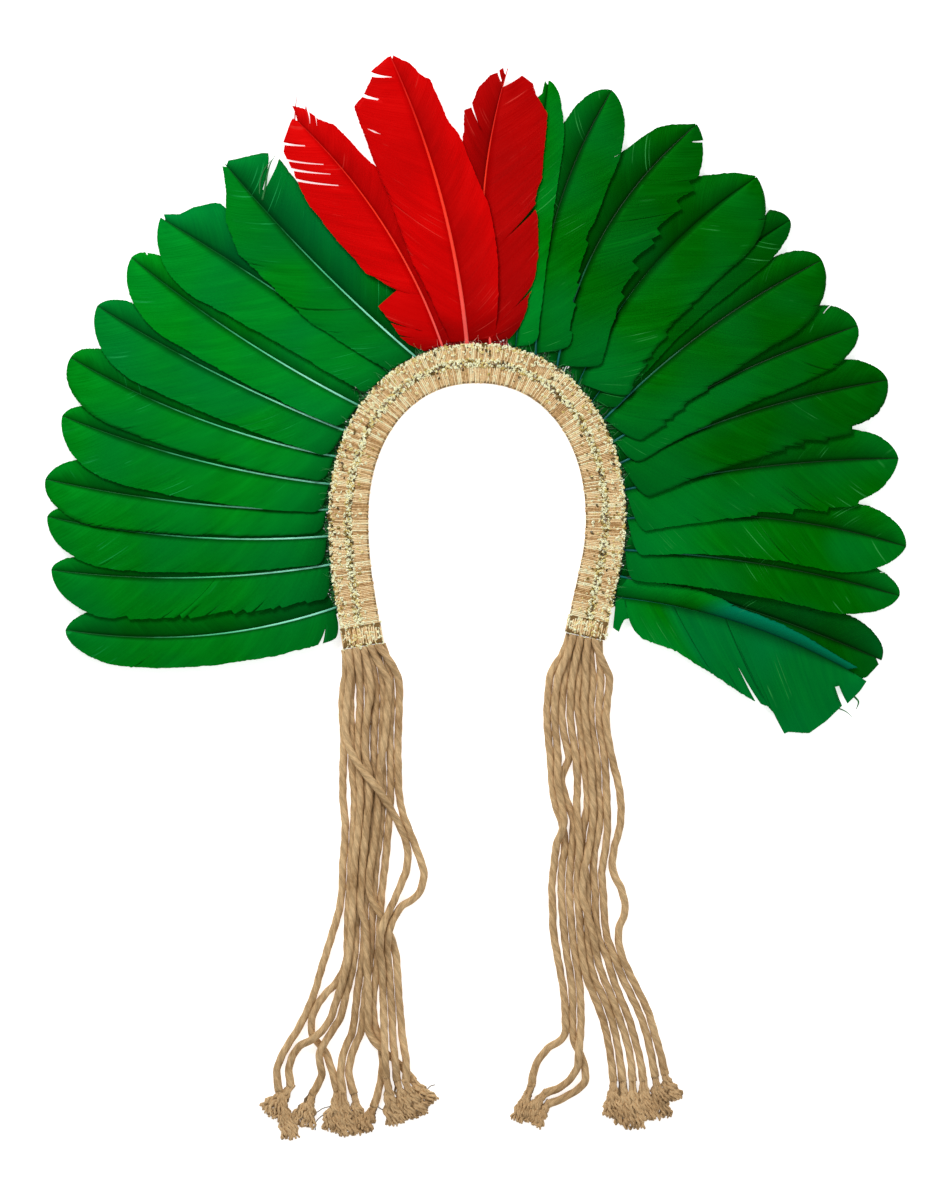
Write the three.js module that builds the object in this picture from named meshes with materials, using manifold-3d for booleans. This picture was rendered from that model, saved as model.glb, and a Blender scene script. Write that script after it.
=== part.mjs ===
// A feathered headdress lying flat: a horseshoe band covered with gold braid, a fan of dyed
// quill feathers set into its outer edge, and a bunch of soft cords hanging from each end.
// Millimetres, +Z up. The origin is the underside of the band at the middle of its crown,
// +Y points out of the crown along the middle feather, and +X is the headdress's right here.
import * as THREE from 'three';
import Module from 'manifold-3d';

const wasm = await Module();
wasm.setup();

// ---- Band ---------------------------------------------------------------------------------
const HALF_SPAN = 77; // centreline, crown middle to the widest point, sideways
const CROWN_DROP = 94; // centreline, crown middle down to the widest point
const CROWN_FULLNESS = 2.15; // 2 is an ellipse, more is squarer
const LEGS = { // below the widest point: how deep, how far it leans in, and over what depth
  left: { depth: 75.5, lean: 9.2, bend: 42, wrap: 12.5 },
  right: { depth: 69.8, lean: 12.2, bend: 26, wrap: 11 },
};
const BAND_WIDTH = 24;
const CORE_HEIGHT = 3.8; // under the quills
const CORE_STEP = 6.5; // inner half, level with the top of the quills
const BRAID_LEVEL = 6.8;
const BRAID_HEIGHT = 1.6;
const BRAID_BEVEL = 0.5;
const WRAP_WIDTH = 25;
const WRAP_HEIGHT = 8.6;
const GAP = 0.3; // between pieces that touch on the real object
const BAND_STEPS = 30;
const WRAP_BEVEL = 1.5;
const LEG_POINTS = 12; // along each leg's centreline
const CROWN_POINTS = 60;
const CENTRE_SAMPLES = 200;

// ---- Feathers -----------------------------------------------------------------------------
const QUILL_LEVEL = 5.3;
const ROOT_OFFSET = 1.6; // quill ends stop this far outside the centreline
const BAND_CLEAR = 13; // vanes keep this far from the centreline
const SHAFT_ROOT = 1.2; // half thickness of the shaft
const SHAFT_TIP = 0.5;
const VANE_EDGE = 0.3; // half thickness at the vane's edge
const TILT_ROOT = 9; // degrees: the outward edge is high, so each feather laps the next
const TILT_TIP = 4;
const BASE_ROUND = 6; // length of the rounded lobe at the base
const OUT_ROUND = 17; // length of the tip's round-off on the outward side
const IN_ROUND = 26; // and on the inward side
const CLIMB_START = 0.7; // a lifted shaft starts to climb at this share of its hidden part
const CLIMB_SHARE = 0.1; // and is up after this share of its length past the band's edge
const VANE_STATIONS = [0.01, 0.08, 0.36, 0.66, 0.85, 0.93, 0.98, 1];
const CLEAR_STEP = 0.5; // by which a vane is narrowed until it clears the band

// at: where the quill sits, in mm along the band from the crown, left is negative
// tipX, tipY: the end of the shaft; bow: how far the shaft bends towards the crown
// out, inn: vane widths away from the crown and towards it; base: width at the base, as a share
// lift: how far the shaft climbs after it leaves the band; roll: share of the tilt
const FEATHER_COLUMNS = ['name', 'at', 'tipX', 'tipY', 'bow', 'out', 'inn', 'base', 'lift', 'roll'];
const FEATHERS = [
  ['red_feather_left', -17, -108, 145.5, 11, 26, 26, 0.6, 1.6, 0.4],
  ['red_feather_middle', -5, -52, 184, 8.5, 29, 21, 0.4, 5.4, 0],
  ['red_feather_right', 10, 18.5, 177, 11, 28, 20, 0.5, 1.6, 0.3],
  ['green_left_01', -28, -151.5, 120, -4, 34, 30, 0.6, 0, 1],
  ['green_left_02', -44, -190, 87.5, 2, 36, 17, 0.5, 0, 1],
  ['green_left_03', -70, -207.5, 63.5, -5, 31, 15, 0.5, 0, 1],
  ['green_left_04', -86, -228, 34.5, -4.5, 33, 17, 0.5, 0, 1],
  ['green_left_05', -100, -244, 3.5, -8.5, 27, 17, 0.5, 0, 1],
  ['green_left_06', -116, -249, -31.5, -6.5, 32, 18, 0.5, 0, 1],
  ['green_left_07', -130, -259, -69.5, -5.5, 24, 21, 0.5, 0, 1],
  ['green_left_08', -145, -258, -92, -7, 29, 14, 0.5, 0, 1],
  ['green_left_09', -161, -255.5, -124, -7, 30, 12, 0.6, 0, 1],
  ['green_left_10', -185, -247, -160, -11.5, 20, 19, 0.95, 0, 1],
  ['green_right_01', 22, 43, 170, 1, 16, 17, 0.5, 0, 1],
  ['green_right_02', 36, 81, 164, 13, 27, 18, 0.5, 0, 1],
  ['green_right_03', 49, 132, 143.5, 18, 33, 20, 0.5, 0, 1],
  ['green_right_04', 62, 168, 112, 14, 36, 20, 0.5, 0, 1],
  ['green_right_05', 73, 188, 86, 10, 18, 18, 0.5, 0, 1],
  ['green_right_06', 84, 207, 62, 8, 32, 16, 0.5, 0, 1],
  ['green_right_07', 95.5, 228.5, 22.5, 6, 22, 22, 0.5, 0, 1],
  ['green_right_08', 107.5, 246.5, -10, 7, 30, 20, 0.5, 0, 1],
  ['green_right_09', 121, 253, -57, 5, 34, 21, 0.5, 0, 1],
  ['green_right_10', 137, 257.5, -110, 10, 29, 20, 0.5, 0, 1],
  ['green_right_11', 154, 253.5, -139.5, 6, 23, 14, 0.5, 0, 1],
  ['green_right_12', 168, 243, -178, 5, 18, 18, 0.5, -2.6, 0.2],
  ['green_right_13', 182, 226.5, -186, 9, 50, 4, 0.5, 0, 0.5],
].map((row) => Object.fromEntries(row.map((value, i) => [FEATHER_COLUMNS[i], value])));

// ---- Ties ---------------------------------------------------------------------------------
const CORD = 4.4; // diameter
const CORD_SIDES = 8;
const CORD_PITCH = 4.6; // between cords that touch
const STEP_DIAMETERS = 3;
const HUMP_SLOPE = 0.35; // how fast a cord climbs over one that lies under it
const ROUTE_SAMPLES = 160;
const SLIDE_REACH = 5; // how far a cord may slide sideways off its route
const SLIDE_STEP = 0.5;
const SLIDE_COST = 0.1; // in mm of height, for each square mm of slide
const BEND_COST = 0.5; // for each step of slide between two samples
const SLIDE_SMOOTH = 5; // samples either side
const STRETCH_PARTS = 6;
const RAISE_ROUNDS = 8;
const SQUARE_START = 1.5; // straight bit with which a tube leaves the band
const LOCK_SIDES = 6;
const LOCK_HEIGHT = 2.6; // half height of a frayed lock where it lies on the surface
const LOCK_ROOT = 0.45; // its half width at the cord, in cord diameters
const LOCK_THIN = 0.8; // how far it flattens out, as a share of its half height
const LOCK_START = 0.5; // free space between a cord's end and its lock, in cord diameters

// Routes are plan points in millimetres, in the order in which the cords are laid, so a later
// one climbs over an earlier one. slot counts half pitches from the middle of the band's end;
// aim and flare say where the frayed lock past the cord's end points to, and its half width there.
const TIES = {
  left: [
    { slot: -5, tuft: 1, aim: [-111.5, -466], flare: 5, route: [
      [-80, -190], [-81, -208], [-80, -226], [-80.5, -244], [-80.5, -262], [-79, -280],
      [-80.5, -298], [-81, -314.5], [-83, -329], [-87, -342.5], [-91, -355.5], [-95.5, -370],
      [-99.5, -383.5], [-105.5, -395.5], [-112, -407.5], [-118, -416.5], [-120.5, -427.5],
      [-119, -437]
    ] },
    { slot: -3, tuft: 2, aim: [-87, -461], flare: 6, route: [
      [-76, -190], [-77, -208], [-76, -226], [-75.5, -244], [-74, -262], [-75, -280], [-77.5, -298],
      [-77.5, -316], [-78, -331], [-78.5, -346], [-79, -359], [-83.5, -369.5], [-92, -378.5],
      [-98.5, -388], [-101, -397.5], [-97, -406.5], [-90.5, -414.5], [-87, -425], [-84, -437]
    ] },
    { slot: -1, tuft: 1, aim: [-106, -458], flare: 8, route: [
      [-66, -190], [-65.5, -208], [-67, -226], [-66.5, -244], [-66.5, -262], [-68, -280],
      [-71, -296.5], [-72, -314.5], [-73.5, -332.5], [-74, -350.5], [-75.5, -365], [-79, -380],
      [-82, -392.5], [-87.5, -402.5], [-92.5, -410.5], [-90.5, -420.5], [-93.5, -430.5], [-99, -439]
    ] },
    { slot: 1, tuft: 2, aim: [-78, -464], flare: 6, route: [
      [-62, -187], [-62.5, -208], [-63.5, -226], [-62.5, -244], [-62.5, -262], [-63.5, -280],
      [-66, -298], [-67.5, -316], [-69, -332.5], [-69.5, -350.5], [-71, -368.5], [-73.5, -383.5],
      [-74, -396.5], [-78, -407], [-82, -418], [-83, -428.5], [-80.5, -438.5]
    ] },
    { slot: 3, tuft: 2, aim: [-70, -463], flare: 6, route: [
      [-59, -187], [-59.5, -208], [-60.5, -226], [-58.5, -244], [-58, -262], [-59, -280],
      [-61.5, -298], [-63, -316], [-64.5, -334], [-65, -350.5], [-66.5, -368.5], [-68.5, -385.5],
      [-69.5, -398.5], [-74.5, -409.5], [-78.5, -419], [-78, -429], [-74, -438.5]
    ] },
    { slot: 5, tuft: 2, aim: [-69, -460], flare: 5, route: [
      [-56, -186], [-56, -202], [-57, -220], [-54, -241], [-53.5, -262], [-54.5, -278.5],
      [-55, -293], [-57, -310], [-60, -325], [-60.5, -341], [-61.5, -356.5], [-62, -374.5],
      [-62.5, -389.5], [-60.5, -401], [-57, -412], [-57, -424], [-59, -436], [-62, -446.5]
    ] },
    { slot: -2, tuft: 1, aim: [-125, -452], flare: 8, route: [
      [-68.5, -187], [-69, -205], [-71.5, -223], [-71.5, -241], [-70, -259], [-71, -277],
      [-74, -295], [-74.5, -313], [-74, -331], [-74, -349], [-76, -364], [-80.5, -379],
      [-84.5, -392.5], [-91, -402.5], [-101.5, -407], [-110, -413.5], [-113, -424], [-112, -434.5]
    ] },
    { slot: 0, tuft: 3, aim: [-28.5, -446], flare: 7, route: [
      [-64, -193], [-66.5, -211], [-68, -232], [-66, -253], [-68.5, -272.5], [-71.5, -289.5],
      [-72, -307.5], [-71, -325], [-66, -341], [-66, -356.5], [-65.5, -373], [-65.5, -388],
      [-63.5, -400], [-58, -408.5], [-51.5, -415.5], [-44, -423.5], [-38, -431]
    ] },
    { slot: 2, tuft: 3, aim: [-35, -452], flare: 7, route: [
      [-54, -184], [-53, -202], [-54, -220], [-57, -238], [-58, -256], [-60, -274], [-62.5, -289],
      [-66.5, -299.5], [-67, -313], [-63.5, -324.5], [-57.5, -334], [-53, -344], [-48.5, -356],
      [-47.5, -373], [-46, -391], [-44.5, -407], [-43, -419], [-42.5, -431]
    ] },
    { slot: 4, tuft: 3, aim: [-41.5, -455], flare: 6, route: [
      [-51, -184], [-50, -200], [-50.5, -217], [-52, -233], [-51.5, -248], [-47, -263.5],
      [-41.5, -278.5], [-36, -292.5], [-32, -305.5], [-33.5, -316.5], [-41.5, -323], [-48.5, -329],
      [-52.5, -338.5], [-52.5, -352], [-51, -367], [-50.5, -385], [-51, -403], [-50, -416.5],
      [-48, -430]
    ] },
    { slot: -4, tuft: 3, aim: [-49, -457], flare: 5, route: [
      [-74.5, -187], [-78, -205], [-78.5, -224.5], [-74, -233.5], [-68, -242.5], [-61, -253],
      [-54, -264.5], [-46, -274], [-41, -283.5], [-40, -294.5], [-42.5, -305.5], [-47, -317],
      [-52, -328.5], [-56.5, -340], [-57.5, -352], [-57, -365.5], [-56, -382], [-56, -400],
      [-55.5, -415.5], [-54.5, -428]
    ] },
  ],
  right: [
    { slot: -4, tuft: 1, aim: [33.5, -457], flare: 5, route: [
      [46, -181.5], [43, -196], [42, -211], [43, -226], [44.5, -241], [45.5, -256], [48.5, -270.5],
      [53, -281.5], [52, -295], [50.5, -308.5], [51, -323], [52, -337.5], [53.5, -352],
      [56, -366.5], [57.5, -382], [57.5, -397], [59, -410], [64, -419.5], [65.5, -429.5],
      [59, -437], [49.5, -442], [42.5, -445]
    ] },
    { slot: -2, tuft: 1, aim: [27.5, -453.5], flare: 5, route: [
      [54, -182.5], [51.5, -199], [51, -214], [53.5, -229], [55, -240.5], [50.5, -250],
      [53.5, -261.5], [57.5, -272.5], [56.5, -287], [54.5, -302.5], [54.5, -319], [56, -334],
      [57.5, -349], [60, -364], [61, -380], [60.5, -395], [60, -408.5], [61, -418.5], [58.5, -428],
      [50, -434.5], [40.5, -438.5]
    ] },
    { slot: 0, tuft: 2, aim: [89, -457], flare: 6, route: [
      [62, -184], [60, -202], [62.5, -220], [63.5, -236.5], [65.5, -250], [66.5, -263.5],
      [64, -277.5], [63, -292], [65.5, -307], [66.5, -322], [66.5, -337], [67, -352],
      [69.5, -366.5], [75.5, -379.5], [80.5, -392.5], [84, -407], [86, -419], [87.5, -431]
    ] },
    { slot: 2, tuft: 2, aim: [101, -455], flare: 6, route: [
      [70, -184], [68.5, -202], [69, -220], [72, -236.5], [72.5, -253], [74, -269], [72.5, -284.5],
      [69.5, -299], [70, -314.5], [70, -329], [72.5, -343.5], [78, -356.5], [82, -370], [87, -383],
      [92, -395.5], [95.5, -408.5], [98.5, -420.5], [100, -431]
    ] },
    { slot: 4, tuft: 2, aim: [110, -454], flare: 7.5, route: [
      [73, -184], [71.5, -202], [71.5, -220], [75, -236], [75.5, -253], [76, -269], [77.5, -284.5],
      [75.5, -298], [74, -310], [75.5, -325], [75, -340], [78.5, -352], [84, -362.5], [90, -374.5],
      [96, -386.5], [101, -400], [104.5, -414.5], [107, -428.5]
    ] },
    { slot: -3, tuft: 1, aim: [24, -455], flare: 4, route: [
      [50, -179], [47.5, -193], [45.5, -206.5], [46, -220], [47.5, -233], [49, -247.5],
      [51.5, -262], [53.5, -274], [50, -286], [47, -299], [45, -313], [45.5, -328], [46, -343],
      [48.5, -356.5], [51, -370.5], [53.5, -384.5], [54.5, -397.5], [51, -407], [42.5, -411.5],
      [36.5, -415.5], [35, -424.5], [32.5, -434]
    ] },
    { slot: -1, tuft: 2, aim: [82, -453], flare: 6, route: [
      [58, -184], [56.5, -202], [56.5, -220], [60, -236], [60.5, -250], [56.5, -263.5],
      [57, -278.5], [60, -293], [59, -308.5], [59, -323], [63.5, -334.5], [64, -349], [66, -364],
      [71, -377], [75, -390.5], [78, -403.5], [80.5, -418], [82, -431]
    ] },
    { slot: 1, tuft: 2, aim: [94.5, -460], flare: 6, route: [
      [65.5, -184], [63.5, -202], [66, -220], [69, -236.5], [69, -253], [70, -269], [68.5, -284.5],
      [62.5, -298], [60, -311], [63.5, -325], [69, -337.5], [70, -352], [75, -366.5],
      [80.5, -379.5], [85, -392.5], [90, -407], [92.5, -419], [93.5, -431]
    ] },
    { slot: 3, tuft: 2, aim: [117.5, -443], flare: 7, route: [
      [76, -182.5], [74, -200.5], [72.5, -218.5], [77, -236], [83.5, -250], [86, -265.5],
      [85, -280], [81.5, -293], [81, -304], [85, -314], [89.5, -322.5], [86.5, -334], [83.5, -346],
      [86.5, -358], [93, -371], [101, -384.5], [106, -400], [110.5, -415.5], [113, -427]
    ] },
  ],
};

// ---- Materials ----------------------------------------------------------------------------
const gold = () => new THREE.MeshStandardMaterial({ color: 0xd0b07c, roughness: 0.5, metalness: 0.5 });
const cloth = () => new THREE.MeshStandardMaterial({ color: 0xb39c78, roughness: 0.9, metalness: 0 });
const green = () => new THREE.MeshStandardMaterial({ color: 0x02761f, roughness: 0.55, metalness: 0 });
const red = () => new THREE.MeshStandardMaterial({ color: 0xc00202, roughness: 0.55, metalness: 0 });
const cotton = () => new THREE.MeshStandardMaterial({ color: 0xc4a070, roughness: 0.95, metalness: 0 });

const headdress = new THREE.Group();
headdress.name = 'feathered_headdress';

function add(name, geometry, material) {
  const mesh = new THREE.Mesh(geometry, material);
  mesh.name = name;
  headdress.add(mesh);
}

// A closed skin over a row of rings, each with the same number of points. capOutline is one
// ring's outline in its own plane, which says how to fill the two ends.
function loft(rings, capOutline) {
  const sides = rings[0].length;
  const positions = rings.flat().flatMap((p) => [p.x, p.y, p.z]);
  const index = [];
  for (let r = 0; r + 1 < rings.length; r += 1) {
    for (let i = 0; i < sides; i += 1) {
      const j = (i + 1) % sides;
      const [a, b, c, d] = [r * sides + i, r * sides + j, (r + 1) * sides + j, (r + 1) * sides + i];
      index.push(a, b, c, a, c, d);
    }
  }
  const last = (rings.length - 1) * sides;
  for (const [a, b, c] of THREE.ShapeUtils.triangulateShape(capOutline, [])) {
    index.push(c, b, a, last + a, last + b, last + c);
  }
  if (enclosedVolume(positions, index) < 0) {
    index.reverse();
  }
  const geometry = new THREE.BufferGeometry();
  geometry.setAttribute('position', new THREE.Float32BufferAttribute(positions, 3));
  geometry.setIndex(index);
  return geometry;
}

function enclosedVolume(positions, index) {
  const corner = (i) => new THREE.Vector3().fromArray(positions, 3 * index[i]);
  let volume = 0;
  for (let i = 0; i < index.length; i += 3) {
    volume += corner(i).dot(corner(i + 1).cross(corner(i + 2)));
  }
  return volume;
}

// ---- The band's centreline ------------------------------------------------------------------
function legOffset(leg, depth) {
  const slope = Math.tan(THREE.MathUtils.degToRad(leg.lean));
  const bent = Math.min(depth, leg.bend);
  return slope * (bent * bent / (2 * leg.bend) + (depth - bent));
}

function bandPoints() {
  const points = [];
  for (let i = 0; i < LEG_POINTS; i += 1) {
    const depth = LEGS.left.depth * (1 - i / LEG_POINTS);
    points.push(new THREE.Vector2(-HALF_SPAN + legOffset(LEGS.left, depth), -CROWN_DROP - depth));
  }
  for (let i = 0; i <= CROWN_POINTS; i += 1) {
    const angle = Math.PI * (1 - i / CROWN_POINTS);
    const across = Math.sign(Math.cos(angle)) * Math.abs(Math.cos(angle)) ** (2 / CROWN_FULLNESS);
    const up = Math.sin(angle) ** (2 / CROWN_FULLNESS);
    points.push(new THREE.Vector2(HALF_SPAN * across, CROWN_DROP * (up - 1)));
  }
  for (let i = 1; i <= LEG_POINTS; i += 1) {
    const depth = LEGS.right.depth * i / LEG_POINTS;
    points.push(new THREE.Vector2(HALF_SPAN - legOffset(LEGS.right, depth), -CROWN_DROP - depth));
  }
  return points;
}

const centreline = new THREE.CatmullRomCurve3(bandPoints().map((p) => new THREE.Vector3(p.x, p.y, 0)));
centreline.arcLengthDivisions = 4 * CENTRE_SAMPLES;
const bandLength = centreline.getLength();
const centreSamples = centreline.getSpacedPoints(CENTRE_SAMPLES);
const crownSample = centreSamples.reduce((best, p, i) => (p.y > centreSamples[best].y ? i : best), 0);
const crownDistance = bandLength * crownSample / CENTRE_SAMPLES;

// The point, travel direction and outward direction at a distance along the band, left end = 0.
function bandFrame(distance) {
  const share = THREE.MathUtils.clamp(distance / bandLength, 0, 1);
  const point = centreline.getPointAt(share);
  const along = centreline.getTangentAt(share);
  return { point, along, outward: new THREE.Vector3(-along.y, along.x, 0) };
}

function bandDistance(x, y) {
  return Math.min(...centreSamples.map((p) => Math.hypot(p.x - x, p.y - y)));
}

// Sweep a section, given as [outward, up] points, between two distances along the band.
function sweep(section, from, to, steps) {
  const rings = [];
  for (let i = 0; i <= steps; i += 1) {
    const { point, outward } = bandFrame(from + (to - from) * i / steps);
    rings.push(section.map(([out, up]) => point.clone().addScaledVector(outward, out).setZ(up)));
  }
  return loft(rings, section.map(([out, up]) => new THREE.Vector2(out, up)));
}

function braidSection(inner, outer) {
  const foot = BRAID_LEVEL;
  const top = BRAID_LEVEL + BRAID_HEIGHT;
  return [[inner, foot], [outer, foot], [outer - BRAID_BEVEL, top], [inner + BRAID_BEVEL, top]];
}

function buildBand() {
  const half = BAND_WIDTH / 2;
  const start = LEGS.left.wrap + GAP;
  const end = bandLength - LEGS.right.wrap - GAP;
  const core = [
    [-half, 0], [half, 0], [half, CORE_HEIGHT], [0, CORE_HEIGHT], [0, CORE_STEP], [-half, CORE_STEP],
  ];
  add('band_core', sweep(core, start, end, BAND_STEPS), cloth());
  add('braid_outer', sweep(braidSection(GAP / 2, half), start, end, BAND_STEPS), gold());
  add('braid_inner', sweep(braidSection(-half, -GAP / 2), start, end, BAND_STEPS), gold());
  const wide = WRAP_WIDTH / 2;
  const top = wide - WRAP_BEVEL;
  const rim = WRAP_HEIGHT - WRAP_BEVEL;
  const wrap = [[-wide, 0], [wide, 0], [wide, rim], [top, WRAP_HEIGHT], [-top, WRAP_HEIGHT], [-wide, rim]];
  add('end_wrap_left', sweep(wrap, 0, LEGS.left.wrap, 2), gold());
  add('end_wrap_right', sweep(wrap, bandLength - LEGS.right.wrap, bandLength, 2), gold());
}

// ---- Feathers -------------------------------------------------------------------------------
function roundOff(distance, length) {
  const left = 1 - THREE.MathUtils.clamp(distance / length, 0, 1);
  return Math.sqrt(1 - left * left);
}

// The vane's width at a distance from its base, on a side whose tip rounds off over `round`.
function vaneWidth(full, baseShare, fromBase, vaneLength, round) {
  const taper = 1 - (1 - baseShare) * (1 - fromBase / vaneLength);
  return full * taper * roundOff(fromBase, BASE_ROUND) * roundOff(vaneLength - fromBase, round);
}

function featherShaft(feather) {
  const { point, outward } = bandFrame(crownDistance + feather.at);
  const root = point.clone().addScaledVector(outward, ROOT_OFFSET);
  const tip = new THREE.Vector3(feather.tipX, feather.tipY, 0);
  const side = feather.tipX < root.x ? -1 : 1;
  const chord = tip.clone().sub(root).normalize();
  const inward = new THREE.Vector3(-side * chord.y, side * chord.x, 0);
  const middle = root.clone().add(tip).multiplyScalar(0.5).addScaledVector(inward, 2 * feather.bow);
  return { side, curve: new THREE.QuadraticBezierCurve3(root, middle, tip) };
}

// Where the shaft leaves the band's clearance, as a share of its length.
function baseShare(curve) {
  const shares = Array.from({ length: CENTRE_SAMPLES }, (unused, i) => i / CENTRE_SAMPLES);
  return shares.find((share) => {
    const { x, y } = curve.getPointAt(share);
    return bandDistance(x, y) >= BAND_CLEAR;
  });
}

// A width cut down until the vane's edge, in the given level direction, clears the band.
function clearWidth(width, point, direction) {
  let cut = width;
  while (cut > SHAFT_ROOT
    && bandDistance(point.x + direction.x * cut, point.y + direction.y * cut) < BAND_CLEAR) {
    cut -= CLEAR_STEP;
  }
  return Math.max(cut, SHAFT_TIP);
}

// Six points a ring: both vane edges and the shaft between them, on the upper and lower face.
function featherRings(feather) {
  const { side, curve } = featherShaft(feather);
  const base = baseShare(curve);
  const length = curve.getLength();
  const vaneLength = length * (1 - base);
  const stations = [0, base, ...VANE_STATIONS.map((share) => base + (1 - base) * share)];
  return stations.map((u, number) => {
    const point = curve.getPointAt(u);
    const tangent = curve.getTangentAt(u);
    const inward = new THREE.Vector3(-side * tangent.y, side * tangent.x, 0);
    const tilt = THREE.MathUtils.degToRad(feather.roll * THREE.MathUtils.lerp(TILT_ROOT, TILT_TIP, u));
    const across = inward.clone().multiplyScalar(Math.cos(tilt)).setZ(-Math.sin(tilt));
    const up = inward.clone().multiplyScalar(Math.sin(tilt)).setZ(Math.cos(tilt));
    const climb = THREE.MathUtils.smoothstep(u, base * CLIMB_START, base + CLIMB_SHARE);
    point.z = QUILL_LEVEL + feather.lift * climb;
    const fromBase = length * (u - base);
    let inn = SHAFT_ROOT;
    let out = SHAFT_ROOT;
    if (number > 1) {
      inn = vaneWidth(feather.inn, feather.base, fromBase, vaneLength, IN_ROUND);
      out = vaneWidth(feather.out, feather.base, fromBase, vaneLength, OUT_ROUND);
      inn = clearWidth(inn, point, inward);
      out = clearWidth(out, point, inward.clone().negate());
    }
    const shaft = THREE.MathUtils.lerp(SHAFT_ROOT, SHAFT_TIP, u);
    const at = (a, b) => point.clone().addScaledVector(across, a).addScaledVector(up, b);
    return [
      at(inn, VANE_EDGE), at(0, shaft), at(-out, VANE_EDGE),
      at(-out, -VANE_EDGE), at(0, -shaft), at(inn, -VANE_EDGE),
    ];
  });
}

function buildFeathers() {
  const cap = [[1, 0.5], [0, 1], [-1, 0.5], [-1, -0.5], [0, -1], [1, -0.5]];
  const capOutline = cap.map(([x, y]) => new THREE.Vector2(x, y));
  for (const feather of FEATHERS) {
    const dye = feather.name.startsWith('red') ? red() : green();
    add(feather.name, loft(featherRings(feather), capOutline), dye);
  }
}

// ---- Ties -----------------------------------------------------------------------------------
// The band's end: its middle, the direction in which the cords leave, and the way to the right.
function bandEnd(end) {
  const { point, along, outward } = bandFrame(end === 'left' ? 0 : bandLength);
  const turn = end === 'left' ? -1 : 1;
  return { point, leave: along.multiplyScalar(turn), right: outward.multiplyScalar(turn) };
}

function exitPoint(end, tie) {
  const { point, leave, right } = bandEnd(end);
  return point.clone().addScaledVector(leave, GAP).addScaledVector(right, tie.slot * CORD_PITCH / 2);
}

// The height at which a cord's centre rests at a place: on the floor, or on the cords laid so far.
function restHeight(x, y, laid) {
  let height = CORD / 2;
  for (const q of laid) {
    const flat = Math.hypot(x - q.x, y - q.y);
    if (flat < CORD_PITCH) {
      height = Math.max(height, q.z + Math.sqrt(CORD_PITCH ** 2 - flat ** 2));
    }
  }
  return height;
}

// A cord slides sideways into the lowest groove within reach. The best chain of shifts, from a
// fixed start to a fixed end, costs height at each sample, distance from the route, and bending.
function slideShifts(samples, normals, laid) {
  const shifts = [];
  for (let shift = -SLIDE_REACH; shift <= SLIDE_REACH; shift += SLIDE_STEP) {
    shifts.push(shift);
  }
  const none = (shifts.length - 1) / 2;
  let totals = shifts.map((shift, k) => (k === none ? 0 : Infinity));
  const choices = [];
  for (let i = 1; i < samples.length; i += 1) {
    const row = [];
    const next = shifts.map((shift, k) => {
      const x = samples[i].x + normals[i].x * shift;
      const y = samples[i].y + normals[i].y * shift;
      const here = restHeight(x, y, laid) + SLIDE_COST * shift * shift;
      let best = Infinity;
      for (let m = Math.max(0, k - 1); m <= Math.min(shifts.length - 1, k + 1); m += 1) {
        const total = totals[m] + BEND_COST * (k - m) ** 2;
        if (total < best) {
          best = total;
          row[k] = m;
        }
      }
      return best + here;
    });
    choices.push(row);
    totals = next;
  }
  const path = [none];
  for (let i = choices.length - 1; i >= 0; i -= 1) {
    path.unshift(choices[i][path[0]]);
  }
  return path.map((k) => shifts[k]);
}

function smoothed(values, reach) {
  return values.map((value, i) => {
    const span = Math.min(reach, i, values.length - 1 - i);
    const near = values.slice(i - span, i + span + 1);
    return near.reduce((sum, v) => sum + v, 0) / near.length;
  });
}

// Lay the cords of one end in order. Each slides into the grooves of those laid before it, then
// its steps are raised until the straight stretches between them clear what they cross. It
// climbs and drops no faster than HUMP_SLOPE.
function layCords(end) {
  const laid = [];
  const { leave } = bandEnd(end);
  return TIES[end].map((tie) => {
    const start = exitPoint(end, tie);
    const straight = start.clone().addScaledVector(leave, 2 * CORD);
    const plan = [start, straight, ...tie.route.map(([x, y]) => new THREE.Vector3(x, y, 0))];
    const route = new THREE.CatmullRomCurve3(plan, false, 'centripetal');
    const samples = route.getSpacedPoints(ROUTE_SAMPLES);
    const normals = samples.map((p, i) => {
      const tangent = route.getTangentAt(i / ROUTE_SAMPLES);
      return new THREE.Vector3(-tangent.y, tangent.x, 0).normalize();
    });
    const shifts = smoothed(slideShifts(samples, normals, laid), SLIDE_SMOOTH);
    samples.forEach((p, i) => p.addScaledVector(normals[i], shifts[i]));
    const settled = new THREE.CatmullRomCurve3(samples);
    const steps = settled.getSpacedPoints(Math.ceil(settled.getLength() / (STEP_DIAMETERS * CORD)));
    raiseSteps(steps, laid);
    laid.push(...stretches(steps).map(({ point }) => point));
    return steps;
  });
}

// Points along the straight stretches between steps, each with its place among the steps.
function stretches(steps) {
  const points = [];
  for (let i = 0; i + 1 < steps.length; i += 1) {
    for (let part = 0; part < STRETCH_PARTS; part += 1) {
      const share = part / STRETCH_PARTS;
      points.push({ point: steps[i].clone().lerp(steps[i + 1], share), before: i, share });
    }
  }
  points.push({ point: steps[steps.length - 1].clone(), before: steps.length - 2, share: 1 });
  return points;
}

// A step lies no further below its neighbour than the hump slope allows.
function limitDrop(neighbour, step) {
  const drop = HUMP_SLOPE * Math.hypot(step.x - neighbour.x, step.y - neighbour.y);
  step.z = Math.max(step.z, neighbour.z - drop);
}

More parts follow.
